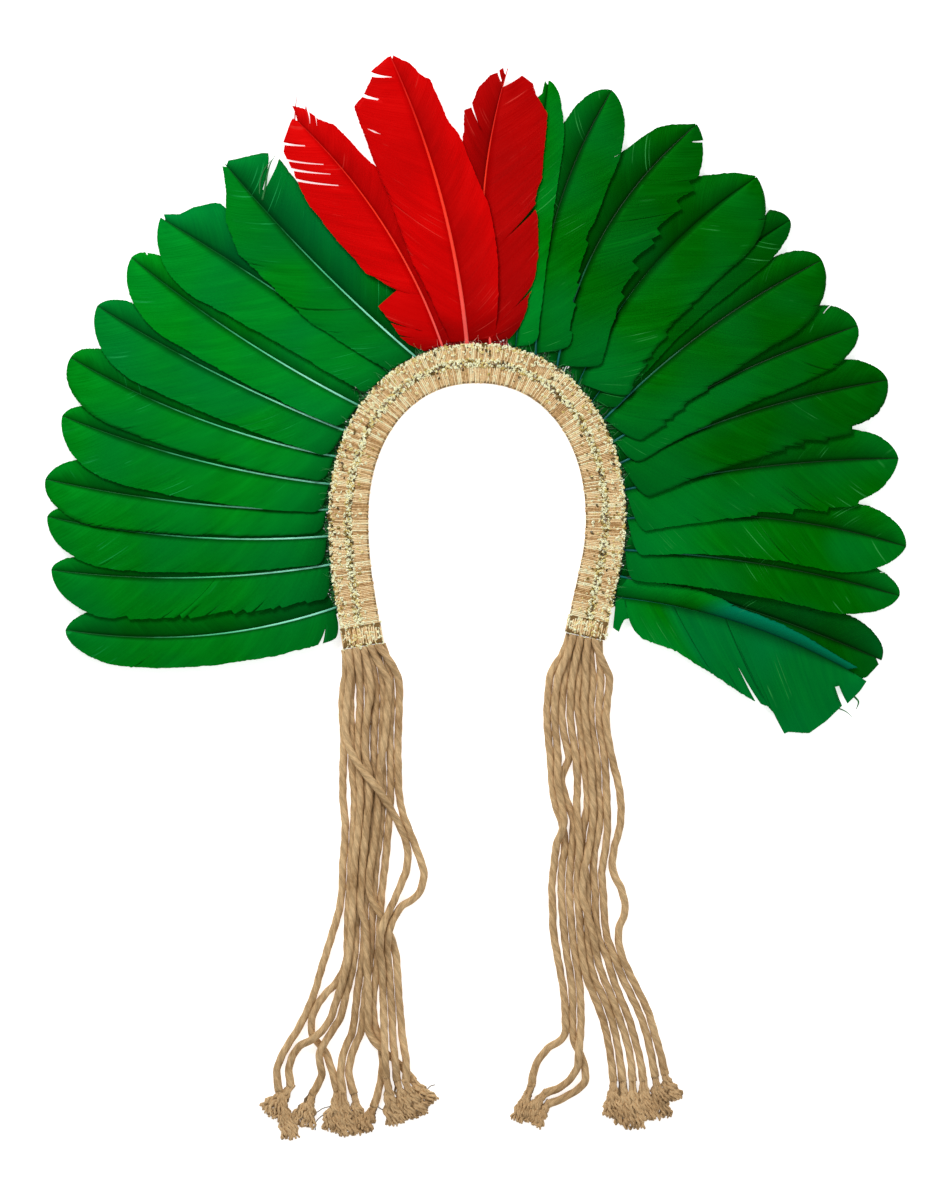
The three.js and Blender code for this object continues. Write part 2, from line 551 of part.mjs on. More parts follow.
function raiseSteps(steps, laid) {
  for (const step of steps) {
    step.z = restHeight(step.x, step.y, laid);
  }
  for (let round = 0; round < RAISE_ROUNDS; round += 1) {
    for (const { point, before, share } of stretches(steps)) {
      const now = THREE.MathUtils.lerp(steps[before].z, steps[before + 1].z, share);
      const lack = restHeight(point.x, point.y, laid) - now;
      if (lack > 0) {
        const spread = (1 - share) ** 2 + share ** 2;
        steps[before].z += lack * (1 - share) / spread;
        steps[before + 1].z += lack * share / spread;
      }
    }
    steps[1].z = Math.max(steps[0].z, steps[1].z);
    steps[0].z = steps[1].z;
    for (let i = 1; i < steps.length; i += 1) {
      limitDrop(steps[i - 1], steps[i]);
      limitDrop(steps[steps.length - i], steps[steps.length - 1 - i]);
    }
  }
}

// The tube leaves the band square to its end, so a point is added close to the start.
function cordGeometry(end, steps) {
  const square = steps[0].clone().addScaledVector(bandEnd(end).leave, SQUARE_START);
  const curve = new THREE.CatmullRomCurve3([steps[0], square, ...steps.slice(1)], false, 'centripetal');
  const section = new THREE.Shape();
  for (let i = 0; i < CORD_SIDES; i += 1) {
    const angle = 2 * Math.PI * (i + 0.5) / CORD_SIDES;
    const corner = [CORD / 2 * Math.cos(angle), CORD / 2 * Math.sin(angle)];
    if (i === 0) {
      section.moveTo(...corner);
    } else {
      section.lineTo(...corner);
    }
  }
  section.closePath();
  const options = { steps: steps.length - 1, extrudePath: curve, bevelEnabled: false };
  return new THREE.ExtrudeGeometry(section, options);
}

// ---- Frayed ends ----------------------------------------------------------------------------
function lockGeometry(steps, tie) {
  const end = steps[steps.length - 1];
  const aim = new THREE.Vector3(tie.aim[0], tie.aim[1], LOCK_HEIGHT);
  const along = aim.clone().sub(end).normalize();
  const across = new THREE.Vector3(-along.y, along.x, 0).normalize();
  const up = new THREE.Vector3().crossVectors(along, across).multiplyScalar(-1);
  const start = end.clone().addScaledVector(along, LOCK_START * CORD);
  const shape = [
    { share: 0, wide: LOCK_ROOT * CORD, high: LOCK_ROOT * CORD },
    { share: 1, wide: tie.flare, high: LOCK_THIN * LOCK_HEIGHT },
  ];
  const outline = [];
  for (let i = 0; i < LOCK_SIDES; i += 1) {
    const angle = 2 * Math.PI * (i + 0.5) / LOCK_SIDES;
    outline.push(new THREE.Vector2(Math.cos(angle), Math.sin(angle)));
  }
  const rings = shape.map(({ share, wide, high }) => {
    const centre = start.clone().lerp(aim, share);
    centre.z = Math.max(centre.z, high);
    return outline.map(({ x, y }) => {
      return centre.clone().addScaledVector(across, wide * x).addScaledVector(up, high * y);
    });
  });
  return loft(rings, outline);
}

function toManifold(geometry) {
  const vertProperties = Float32Array.from(geometry.attributes.position.array);
  const triVerts = Uint32Array.from(geometry.index.array);
  return new wasm.Manifold(new wasm.Mesh({ numProp: 3, vertProperties, triVerts }));
}

function fromManifold(solid) {
  const mesh = solid.getMesh();
  const geometry = new THREE.BufferGeometry();
  geometry.setAttribute('position', new THREE.Float32BufferAttribute(mesh.vertProperties, 3));
  geometry.setIndex(new THREE.Uint32BufferAttribute(mesh.triVerts, 1));
  return geometry;
}

function buildTies(end) {
  const routes = layCords(end);
  const tufts = new Map();
  TIES[end].forEach((tie, number) => {
    const label = String(number + 1).padStart(2, '0');
    add(`tie_${end}_${label}`, cordGeometry(end, routes[number]), cotton());
    const lock = toManifold(lockGeometry(routes[number], tie));
    tufts.set(tie.tuft, tufts.has(tie.tuft) ? tufts.get(tie.tuft).add(lock) : lock);
  });
  for (const [number, solid] of tufts) {
    add(`tuft_${end}_${number}`, fromManifold(solid), cotton());
  }
}

buildBand();
buildFeathers();
buildTies('left');
buildTies('right');

export default headdress;
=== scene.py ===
# %% [markdown]
# # A feathered headdress, laid flat
# A horseshoe band goes over the head from temple to temple. Two rows of gold braid cover it, a
# fan of dyed quill feathers is set into its outer edge, and soft cotton cords hang from its ends.
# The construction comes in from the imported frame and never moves. Everything here is looks:
# finer meshes that stand for the plain solids, and materials made of nodes.

import math

import bmesh
import bpy
import numpy as np
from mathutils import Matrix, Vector


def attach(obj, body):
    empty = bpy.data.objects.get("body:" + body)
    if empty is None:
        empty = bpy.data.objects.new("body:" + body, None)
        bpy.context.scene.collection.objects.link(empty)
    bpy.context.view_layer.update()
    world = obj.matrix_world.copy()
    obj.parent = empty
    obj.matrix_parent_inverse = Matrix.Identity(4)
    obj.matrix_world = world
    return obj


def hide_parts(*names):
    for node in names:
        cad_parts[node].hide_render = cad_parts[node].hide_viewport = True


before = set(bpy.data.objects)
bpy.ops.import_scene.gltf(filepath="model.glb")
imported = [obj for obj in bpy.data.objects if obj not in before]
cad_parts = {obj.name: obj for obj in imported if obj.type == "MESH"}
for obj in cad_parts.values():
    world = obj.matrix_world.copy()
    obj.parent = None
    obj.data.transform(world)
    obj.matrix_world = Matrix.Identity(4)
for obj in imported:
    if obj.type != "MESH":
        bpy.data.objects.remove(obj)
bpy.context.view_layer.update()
MM = 0.001

# %% [markdown]
# ## Camera, light and floor
# The headdress lies on a pale surface and is seen from straight above. A long lens, far away,
# keeps every part at the same scale, as a flat drawing has it. Sizes below are in millimetres,
# as a maker would give them, and become metres where a mesh is made.

# %% Camera
VIEW_HEIGHT = 720.0
VIEW_CENTRE = (-0.6, -141.9)
CAMERA_HEIGHT = 3000.0
OBJECT_LEVEL = 6.0
SENSOR = 36.0

camera_data = bpy.data.cameras.new("camera")
camera_data.sensor_width = SENSOR
camera_data.lens = SENSOR * (CAMERA_HEIGHT - OBJECT_LEVEL) / VIEW_HEIGHT
camera_data.clip_end = 20.0
camera = bpy.data.objects.new("camera", camera_data)
camera.location = (VIEW_CENTRE[0] * MM, VIEW_CENTRE[1] * MM, CAMERA_HEIGHT * MM)
scene = bpy.context.scene
scene.collection.objects.link(camera)
scene.camera = camera
scene.view_settings.view_transform = "Standard"
print("camera lens", round(camera_data.lens, 1), "mm")

# %% Soft studio light
KEY_SIZE = 0.9
KEY_PLACE = (-0.6, 1.15, 1.45)
KEY_POWER = 24.0
FILL_SIZE = 1.4
FILL_PLACE = (0.7, -0.5, 1.8)
FILL_POWER = 6.0
LIGHT_AIM = Vector((0.0, -0.06, 0.0))
WORLD_LIGHT = 0.4


def area_light(name, place, size, power):
    data = bpy.data.lights.new(name, "AREA")
    data.shape = "DISK"
    data.size = size
    data.energy = power
    lamp = bpy.data.objects.new(name, data)
    lamp.location = place
    lamp.rotation_euler = (LIGHT_AIM - Vector(place)).to_track_quat("-Z", "Y").to_euler()
    scene.collection.objects.link(lamp)


area_light("key_light", KEY_PLACE, KEY_SIZE, KEY_POWER)
area_light("fill_light", FILL_PLACE, FILL_SIZE, FILL_POWER)
world = bpy.data.worlds.new("studio")
world.use_nodes = True
backdrop = world.node_tree.nodes["Background"]
backdrop.inputs["Color"].default_value = (1.0, 1.0, 1.0, 1.0)
backdrop.inputs["Strength"].default_value = WORLD_LIGHT
scene.world = world
print("lights: key, fill and a white room")

# %% [markdown]
# ## Small helpers for meshes and materials
# Almost every piece below is a row of rings, or a sheet of rows, bent along a line. So one set of
# helpers turns lines into rings, joins rings with faces, and makes a mesh of them. The others keep
# node trees short to write: each adds one node, links or sets its inputs, and returns its output.

# %% Mesh helpers
UP = np.array([0.0, 0.0, 1.0])


def make_piece(name, points, faces, material, uv=None, smooth=True, **attributes):
    """A mesh object from points in millimetres; uv and the attributes have a value a point."""
    mesh = bpy.data.meshes.new(name)
    mesh.from_pydata((np.asarray(points) * MM).tolist(), [], faces)
    if uv is not None:
        layer = mesh.uv_layers.new(name="UVMap")
        corner = np.zeros(len(mesh.loops), np.int32)
        mesh.loops.foreach_get("vertex_index", corner)
        layer.data.foreach_set("uv", np.asarray(uv, np.float32)[corner].ravel())
    for key, values in attributes.items():
        layer = mesh.attributes.new(key, "FLOAT", "POINT")
        layer.data.foreach_set("value", np.asarray(values, np.float32))
    mesh.materials.append(material)
    mesh.polygons.foreach_set("use_smooth", [smooth] * len(mesh.polygons))
    mesh.update()
    piece = bpy.data.objects.new(name, mesh)
    scene.collection.objects.link(piece)
    return piece


def closed_piece(*mesh_parts, **layers):
    """A piece whose faces are all turned outwards."""
    piece = make_piece(*mesh_parts, **layers)
    sheet = bmesh.new()
    sheet.from_mesh(piece.data)
    bmesh.ops.recalc_face_normals(sheet, faces=sheet.faces)
    sheet.to_mesh(piece.data)
    sheet.free()
    return piece


def declare(piece, stands_for=None):
    """Every piece rides on the part's one body; some stand for a piece of the construction."""
    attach(piece, "root")
    if stands_for:
        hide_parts(stands_for)
    return piece


def finished(piece):
    """Bake a piece's modifiers into a plain mesh, and take the modifiers off."""
    evaluated = piece.evaluated_get(bpy.context.evaluated_depsgraph_get())
    mesh = bpy.data.meshes.new_from_object(evaluated)
    piece.modifiers.clear()
    piece.data = mesh
    return piece


def triangles(*pieces):
    return sum(len(p.vertices) - 2 for piece in pieces for p in piece.data.polygons)


def tube_faces(rings, sides, tubes=1):
    """Faces of closed tubes whose points follow one another: quads, and a cap on each end."""
    faces = []
    for start in range(0, tubes * rings * sides, rings * sides):
        for low in range(start, start + (rings - 1) * sides, sides):
            for c in range(sides):
                d = (c + 1) % sides
                faces.append((low + c, low + d, low + sides + d, low + sides + c))
        last = start + (rings - 1) * sides
        faces.append(tuple(range(start + sides - 1, start - 1, -1)))
        faces.append(tuple(range(last, last + sides)))
    return faces


def unit(vectors):
    return vectors / np.linalg.norm(vectors, axis=-1, keepdims=True)


def square_to(line):
    """Unit vectors square to a line: a level one to its right, and one square to both."""
    travel = unit(np.gradient(line, axis=0))
    right = unit(np.cross(travel, UP))
    return right, np.cross(right, travel)


def round_angles(sides):
    return np.linspace(0, 2 * math.pi, sides, endpoint=False)


def on_circle(angles):
    return np.stack([np.cos(angles), np.sin(angles)], axis=-1)


def rings_round(line, right, up, wide, high, angles):
    """Rings of points round a line, with half width wide and half height high."""
    return (line[:, None] + right[:, None] * (wide * np.cos(angles))[..., None]
            + up[:, None] * (high * np.sin(angles))[..., None])


def smoothstep(value, low, high):
    t = np.clip((value - low) / (high - low), 0.0, 1.0)
    return t * t * (3 - 2 * t)


def soft_noise(places, seed, scale):
    """Smooth one-dimensional noise between -1 and 1, for waves along a feather or a cord."""
    rng = np.random.default_rng(seed)
    phases = rng.uniform(0, 2 * math.pi, 5)
    rates = scale * np.array([1.0, 1.7, 2.9, 4.3, 6.1])
    weights = np.array([1.0, 0.7, 0.5, 0.35, 0.25])
    waves = np.sin(np.multiply.outer(places, rates) + phases)
    return (waves * weights).sum(-1) / weights.sum()


# %% Node helpers
def connect(tree, socket, value):
    """Give an input a plain value, or link an output socket to it."""
    if isinstance(value, bpy.types.NodeSocket):
        tree.links.new(value, socket)
    else:
        socket.default_value = value


def node(tree, kind, inputs=None, **properties):
    made = tree.nodes.new(kind)
    for key, value in properties.items():
        setattr(made, key, value)
    for key, value in (inputs or {}).items():
        connect(tree, made.inputs[key], value)
    return made


def new_material(name, roughness, specular=0.5):
    """A material; returns it, its tree, its shader and the object's own coordinates."""
    material = bpy.data.materials.new(name)
    material.use_nodes = True
    tree = material.node_tree
    shader = tree.nodes["Principled BSDF"]
    shader.inputs["Roughness"].default_value = roughness
    shader.inputs["Specular IOR Level"].default_value = specular
    return material, tree, shader, node(tree, "ShaderNodeTexCoord").outputs["Object"]


def attribute(tree, name):
    return node(tree, "ShaderNodeAttribute", attribute_name=name).outputs["Fac"]


def noise(tree, vector, scale=1.0, detail=2.0, roughness=0.5):
    return node(tree, "ShaderNodeTexNoise", {"Vector": vector, "Scale": scale, "Detail": detail,
                                             "Roughness": roughness}).outputs["Fac"]


def maths(tree, operation, *values):
    return node(tree, "ShaderNodeMath", dict(enumerate(values)), operation=operation).outputs["Value"]


def vector(tree, **parts):
    return node(tree, "ShaderNodeCombineXYZ", parts).outputs["Vector"]


def remap(tree, value, low, high, to_low=0.0, to_high=1.0):
    return node(tree, "ShaderNodeMapRange", {"Value": value, "From Min": low, "From Max": high,
                                             "To Min": to_low, "To Max": to_high}).outputs["Result"]


def stretched(tree, uv, u_rate, v_rate):
    return node(tree, "ShaderNodeMapping", {"Vector": uv, "Scale": (u_rate, v_rate, 1.0)}).outputs["Vector"]


def ramp(tree, factor, stops):
    """A colour ramp through (place, linear colour) stops."""
    made = node(tree, "ShaderNodeValToRGB", {"Fac": factor})
    elements = made.color_ramp.elements
    while len(elements) < len(stops):
        elements.new(0.5)
    for element, (place, colour) in zip(elements, stops):
        element.position = place
        element.color = (*colour, 1.0)
    return made.outputs["Color"]


def mix(tree, factor, first, plain):
    """A mix from a colour socket towards a plain colour."""
    made = node(tree, "ShaderNodeMix", {0: factor}, data_type="RGBA")
    connect(tree, made.inputs[6], first)
    made.inputs[7].default_value = (*plain, 1.0)
    return made.outputs[2]


def brightened(tree, colour, value):
    return node(tree, "ShaderNodeHueSaturation", {"Value": value, "Color": colour}).outputs["Color"]


def dress(tree, shader, colour, height=None, strength=0.0, distance=0.0):
    """Link a shader's colour, and a bump from a height socket; distance is in millimetres."""
    tree.links.new(colour, shader.inputs["Base Color"])
    if height is not None:
        bump = node(tree, "ShaderNodeBump", {"Height": height, "Strength": strength,
                                             "Distance": distance * MM})
        tree.links.new(bump.outputs["Normal"], shader.inputs["Normal"])


def linear(red, green, blue):
    """A display colour, 0 to 255, as the linear light that shaders work in."""
    parts = np.array([red, green, blue]) / 255.0
    return tuple(np.where(parts <= 0.04045, parts / 12.92, ((parts + 0.055) / 1.055) ** 2.4))


# %% The floor
FLOOR_HALF = 6000.0
PAPER_GLOW = 0.62


def make_floor():
    material, tree, shader, place = new_material("studio_paper", 0.9)
    paper = ramp(tree, noise(tree, place, 900.0), [(0.3, (0.93,) * 3), (0.7, (0.97,) * 3)])
    dress(tree, shader, paper)
    shader.inputs["Emission Color"].default_value = (1.0, 1.0, 1.0, 1.0)
    shader.inputs["Emission Strength"].default_value = PAPER_GLOW
    corners = [(x * FLOOR_HALF, y * FLOOR_HALF, 0.0) for x, y in ((-1, -1), (1, -1), (1, 1), (-1, 1))]
    make_piece("floor", corners, [(0, 1, 2, 3)], material, smooth=False)


make_floor()
print("floor at z = 0")

# %% [markdown]
# ## The band's line
# Everything hangs on one line: the middle of the horseshoe. The crown is a slightly squared
# ellipse, and each leg leans inwards below the widest point. The same few sizes as in the
# construction draw it again here, as points with a travel direction and an outward direction.

# %% The centreline
HALF_SPAN = 77.0
CROWN_DROP = 94.0
CROWN_FULLNESS = 2.15
LEGS = {
    "left": {"depth": 75.5, "lean": 9.2, "bend": 42.0, "wrap": 12.5},
    "right": {"depth": 69.8, "lean": 12.2, "bend": 26.0, "wrap": 11.0},
}
BAND_WIDTH = 24.0
GAP = 0.3
SLOPE_REACH = 0.6


def leg_offset(leg, depth):
    bent = min(depth, leg["bend"])
    return math.tan(math.radians(leg["lean"])) * (bent ** 2 / (2 * leg["bend"]) + depth - bent)


def band_points():
    left, right = LEGS["left"], LEGS["right"]
    points = []
    for depth in np.linspace(left["depth"], 0, 80, endpoint=False):
        points.append((-HALF_SPAN + leg_offset(left, depth), -CROWN_DROP - depth))
    for angle in np.linspace(math.pi, 0, 400):
        across, up = math.cos(angle), math.sin(angle)
        x = math.copysign(abs(across) ** (2 / CROWN_FULLNESS), across)
        points.append((HALF_SPAN * x, CROWN_DROP * (max(up, 0.0) ** (2 / CROWN_FULLNESS) - 1)))
    for depth in np.linspace(0, right["depth"], 81)[1:]:
        points.append((HALF_SPAN - leg_offset(right, depth), -CROWN_DROP - depth))
    return np.array(points)


def along_path(points, distances):
    """Points at the given distances along a polyline."""
    steps = np.linalg.norm(np.diff(points, axis=0), axis=1)
    reached = np.concatenate([[0.0], np.cumsum(steps)])
    return np.stack([np.interp(distances, reached, axis) for axis in points.T], axis=1)


def path_length(points):
    return float(np.linalg.norm(np.diff(points, axis=0), axis=1).sum())


CENTRELINE = band_points()
BAND_LENGTH = path_length(CENTRELINE)
FINE_STEPS = 1200
FINE = along_path(CENTRELINE, np.linspace(0, BAND_LENGTH, FINE_STEPS + 1))
CROWN_DISTANCE = BAND_LENGTH * int(FINE[:, 1].argmax()) / FINE_STEPS


def band_frame(distances):
    """Points, travel directions and outward directions at distances from the left end."""
    distances = np.atleast_1d(np.asarray(distances, float))
    ahead = along_path(CENTRELINE, np.clip(distances + SLOPE_REACH, 0, BAND_LENGTH))
    behind = along_path(CENTRELINE, np.clip(distances - SLOPE_REACH, 0, BAND_LENGTH))
    travel = unit(ahead - behind)
    outward = np.stack([-travel[:, 1], travel[:, 0]], axis=1)
    return along_path(CENTRELINE, distances), travel, outward


def band_distance(points):
    """How far plan points are from the centreline."""
    return np.linalg.norm(points[:, None, :2] - FINE[None, ::3], axis=2).min(axis=1)


print("band length", round(BAND_LENGTH, 1), "mm, crown at", round(CROWN_DISTANCE, 1))

# %% [markdown]
# ## Cotton cords
# Eleven soft cords leave the left end of the band and nine the right. They are laid one after
# another, each on a route that a hand might give it: a cord sinks into the groove between those
# that already lie there, and climbs over the ones that it crosses. It is the same table and the
# same way of laying as in the construction, so each cord runs where its plain tube ran.

# %% Routes of the cords
CORD = 4.4
CORD_PITCH = 4.6
# slot counts half pitches from the middle of the band's end; aim and flare say where the frayed
# tuft past the cord's end points to, and its half width there; the route is in plan millimetres.
TIE_COLUMNS = ["slot", "tuft", "aim", "flare", "route"]
TIE_ROWS = {
    "left": [
        [-5, 1, (-111.5, -466), 5, [
            (-80, -190), (-81, -208), (-80, -226), (-80.5, -244), (-80.5, -262), (-79, -280),
            (-80.5, -298), (-81, -314.5), (-83, -329), (-87, -342.5), (-91, -355.5), (-95.5, -370),
            (-99.5, -383.5), (-105.5, -395.5), (-112, -407.5), (-118, -416.5), (-120.5, -427.5),
            (-119, -437)]],
        [-3, 2, (-87, -461), 6, [
            (-76, -190), (-77, -208), (-76, -226), (-75.5, -244), (-74, -262), (-75, -280),
            (-77.5, -298), (-77.5, -316), (-78, -331), (-78.5, -346), (-79, -359), (-83.5, -369.5),
            (-92, -378.5), (-98.5, -388), (-101, -397.5), (-97, -406.5), (-90.5, -414.5), (-87, -425),
            (-84, -437)]],
        [-1, 1, (-106, -458), 8, [
            (-66, -190), (-65.5, -208), (-67, -226), (-66.5, -244), (-66.5, -262), (-68, -280),
            (-71, -296.5), (-72, -314.5), (-73.5, -332.5), (-74, -350.5), (-75.5, -365), (-79, -380),
            (-82, -392.5), (-87.5, -402.5), (-92.5, -410.5), (-90.5, -420.5), (-93.5, -430.5),
            (-99, -439)]],
        [1, 2, (-78, -464), 6, [
            (-62, -187), (-62.5, -208), (-63.5, -226), (-62.5, -244), (-62.5, -262), (-63.5, -280),
            (-66, -298), (-67.5, -316), (-69, -332.5), (-69.5, -350.5), (-71, -368.5), (-73.5, -383.5),
            (-74, -396.5), (-78, -407), (-82, -418), (-83, -428.5), (-80.5, -438.5)]],
        [3, 2, (-70, -463), 6, [
            (-59, -187), (-59.5, -208), (-60.5, -226), (-58.5, -244), (-58, -262), (-59, -280),
            (-61.5, -298), (-63, -316), (-64.5, -334), (-65, -350.5), (-66.5, -368.5), (-68.5, -385.5),
            (-69.5, -398.5), (-74.5, -409.5), (-78.5, -419), (-78, -429), (-74, -438.5)]],
        [5, 2, (-69, -460), 5, [
            (-56, -186), (-56, -202), (-57, -220), (-54, -241), (-53.5, -262), (-54.5, -278.5),
            (-55, -293), (-57, -310), (-60, -325), (-60.5, -341), (-61.5, -356.5), (-62, -374.5),
            (-62.5, -389.5), (-60.5, -401), (-57, -412), (-57, -424), (-59, -436), (-62, -446.5)]],
        [-2, 1, (-125, -452), 8, [
            (-68.5, -187), (-69, -205), (-71.5, -223), (-71.5, -241), (-70, -259), (-71, -277),
            (-74, -295), (-74.5, -313), (-74, -331), (-74, -349), (-76, -364), (-80.5, -379),
            (-84.5, -392.5), (-91, -402.5), (-101.5, -407), (-110, -413.5), (-113, -424), (-112, -434.5)]],
        [0, 3, (-28.5, -446), 7, [
            (-64, -193), (-66.5, -211), (-68, -232), (-66, -253), (-68.5, -272.5), (-71.5, -289.5),
            (-72, -307.5), (-71, -325), (-66, -341), (-66, -356.5), (-65.5, -373), (-65.5, -388),
            (-63.5, -400), (-58, -408.5), (-51.5, -415.5), (-44, -423.5), (-38, -431)]],
        [2, 3, (-35, -452), 7, [
            (-54, -184), (-53, -202), (-54, -220), (-57, -238), (-58, -256), (-60, -274), (-62.5, -289),
            (-66.5, -299.5), (-67, -313), (-63.5, -324.5), (-57.5, -334), (-53, -344), (-48.5, -356),
            (-47.5, -373), (-46, -391), (-44.5, -407), (-43, -419), (-42.5, -431)]],
        [4, 3, (-41.5, -455), 6, [
            (-51, -184), (-50, -200), (-50.5, -217), (-52, -233), (-51.5, -248), (-47, -263.5),
            (-41.5, -278.5), (-36, -292.5), (-32, -305.5), (-33.5, -316.5), (-41.5, -323),
            (-48.5, -329), (-52.5, -338.5), (-52.5, -352), (-51, -367), (-50.5, -385), (-51, -403),
            (-50, -416.5), (-48, -430)]],
        [-4, 3, (-49, -457), 5, [
            (-74.5, -187), (-78, -205), (-78.5, -224.5), (-74, -233.5), (-68, -242.5), (-61, -253),
            (-54, -264.5), (-46, -274), (-41, -283.5), (-40, -294.5), (-42.5, -305.5), (-47, -317),
            (-52, -328.5), (-56.5, -340), (-57.5, -352), (-57, -365.5), (-56, -382), (-56, -400),
            (-55.5, -415.5), (-54.5, -428)]],
    ],
    "right": [
        [-4, 1, (33.5, -457), 5, [
            (46, -181.5), (43, -196), (42, -211), (43, -226), (44.5, -241), (45.5, -256),
            (48.5, -270.5), (53, -281.5), (52, -295), (50.5, -308.5), (51, -323), (52, -337.5),
            (53.5, -352), (56, -366.5), (57.5, -382), (57.5, -397), (59, -410), (64, -419.5),
            (65.5, -429.5), (59, -437), (49.5, -442), (42.5, -445)]],
        [-2, 1, (27.5, -453.5), 5, [
            (54, -182.5), (51.5, -199), (51, -214), (53.5, -229), (55, -240.5), (50.5, -250),
            (53.5, -261.5), (57.5, -272.5), (56.5, -287), (54.5, -302.5), (54.5, -319), (56, -334),
            (57.5, -349), (60, -364), (61, -380), (60.5, -395), (60, -408.5), (61, -418.5),
            (58.5, -428), (50, -434.5), (40.5, -438.5)]],
        [0, 2, (89, -457), 6, [
            (62, -184), (60, -202), (62.5, -220), (63.5, -236.5), (65.5, -250), (66.5, -263.5),
            (64, -277.5), (63, -292), (65.5, -307), (66.5, -322), (66.5, -337), (67, -352),
            (69.5, -366.5), (75.5, -379.5), (80.5, -392.5), (84, -407), (86, -419), (87.5, -431)]],
        [2, 2, (101, -455), 6, [
            (70, -184), (68.5, -202), (69, -220), (72, -236.5), (72.5, -253), (74, -269),
            (72.5, -284.5), (69.5, -299), (70, -314.5), (70, -329), (72.5, -343.5), (78, -356.5),
            (82, -370), (87, -383), (92, -395.5), (95.5, -408.5), (98.5, -420.5), (100, -431)]],
        [4, 2, (110, -454), 7.5, [
            (73, -184), (71.5, -202), (71.5, -220), (75, -236), (75.5, -253), (76, -269),
            (77.5, -284.5), (75.5, -298), (74, -310), (75.5, -325), (75, -340), (78.5, -352),
            (84, -362.5), (90, -374.5), (96, -386.5), (101, -400), (104.5, -414.5), (107, -428.5)]],
        [-3, 1, (24, -455), 4, [
            (50, -179), (47.5, -193), (45.5, -206.5), (46, -220), (47.5, -233), (49, -247.5),
            (51.5, -262), (53.5, -274), (50, -286), (47, -299), (45, -313), (45.5, -328), (46, -343),
            (48.5, -356.5), (51, -370.5), (53.5, -384.5), (54.5, -397.5), (51, -407), (42.5, -411.5),
            (36.5, -415.5), (35, -424.5), (32.5, -434)]],
        [-1, 2, (82, -453), 6, [
            (58, -184), (56.5, -202), (56.5, -220), (60, -236), (60.5, -250), (56.5, -263.5),
            (57, -278.5), (60, -293), (59, -308.5), (59, -323), (63.5, -334.5), (64, -349), (66, -364),
            (71, -377), (75, -390.5), (78, -403.5), (80.5, -418), (82, -431)]],
        [1, 2, (94.5, -460), 6, [
            (65.5, -184), (63.5, -202), (66, -220), (69, -236.5), (69, -253), (70, -269),
            (68.5, -284.5), (62.5, -298), (60, -311), (63.5, -325), (69, -337.5), (70, -352),
            (75, -366.5), (80.5, -379.5), (85, -392.5), (90, -407), (92.5, -419), (93.5, -431)]],
        [3, 2, (117.5, -443), 7, [
            (76, -182.5), (74, -200.5), (72.5, -218.5), (77, -236), (83.5, -250), (86, -265.5),
            (85, -280), (81.5, -293), (81, -304), (85, -314), (89.5, -322.5), (86.5, -334),
            (83.5, -346), (86.5, -358), (93, -371), (101, -384.5), (106, -400), (110.5, -415.5),
            (113, -427)]],
    ],
}
TIES = {end: [dict(zip(TIE_COLUMNS, row)) for row in rows] for end, rows in TIE_ROWS.items()}
print({end: len(rows) for end, rows in TIES.items()}, "cords")

# %% Curves through points
def smooth_line(points, fine=10):
    """A centripetal Catmull-Rom curve through points, as a polyline."""
    points = np.asarray(points, float)
    ends = np.vstack([2 * points[0] - points[1], points, 2 * points[-1] - points[-2]])
    share = np.linspace(0, 1, fine, endpoint=False)[:, None]
    line = []
    for a, b, c, d in zip(ends, ends[1:], ends[2:], ends[3:]):
        before, here, after = (max(np.linalg.norm(q - p), 1e-8) ** 0.5
                               for p, q in ((a, b), (b, c), (c, d)))
        leave = (b - a) / before - (c - a) / (before + here) + (c - b) / here
        reach = (c - b) / here - (d - b) / (here + after) + (d - c) / after
        leave, reach = leave * here, reach * here
        line.append(b + leave * share + (3 * (c - b) - 2 * leave - reach) * share ** 2
                    + (2 * (b - c) + leave + reach) * share ** 3)
    return np.vstack(line + [points[-1:]])


def spaced(line, count):
    """count + 1 points evenly spaced along a polyline."""
    return along_path(line, np.linspace(0, path_length(line), count + 1))


def band_end(end):
    """The middle of a band end, the way the cords leave it, and the way to the right."""
    point, travel, outward = band_frame(0.0 if end == "left" else BAND_LENGTH)
    turn = -1 if end == "left" else 1
    return point[0], turn * travel[0], turn * outward[0]


# %% Laying one cord after another
ROUTE_SAMPLES = 160
SHIFTS = np.arange(-5.0, 5.01, 0.5)
SLIDE_COST = 0.1
BEND_COST = 0.5
SLIDE_SMOOTH = 5
STEP_LENGTH = 3 * CORD
HUMP_SLOPE = 0.35
STRETCH_PARTS = 6
RAISE_ROUNDS = 8
SQUARE_START = 1.5


def rest_height(plan, laid):
    """How high a cord's centre rests at plan points: on the floor, or on the cords laid so far."""
    height = np.full(len(plan), CORD / 2)
    if len(laid) == 0:
        return height
    flat = np.linalg.norm(plan[:, None] - laid[None, :, :2], axis=2)
    lift = laid[None, :, 2] + np.sqrt(np.clip(CORD_PITCH ** 2 - flat ** 2, 0, None))
    return np.maximum(height, np.where(flat < CORD_PITCH, lift, 0).max(axis=1))


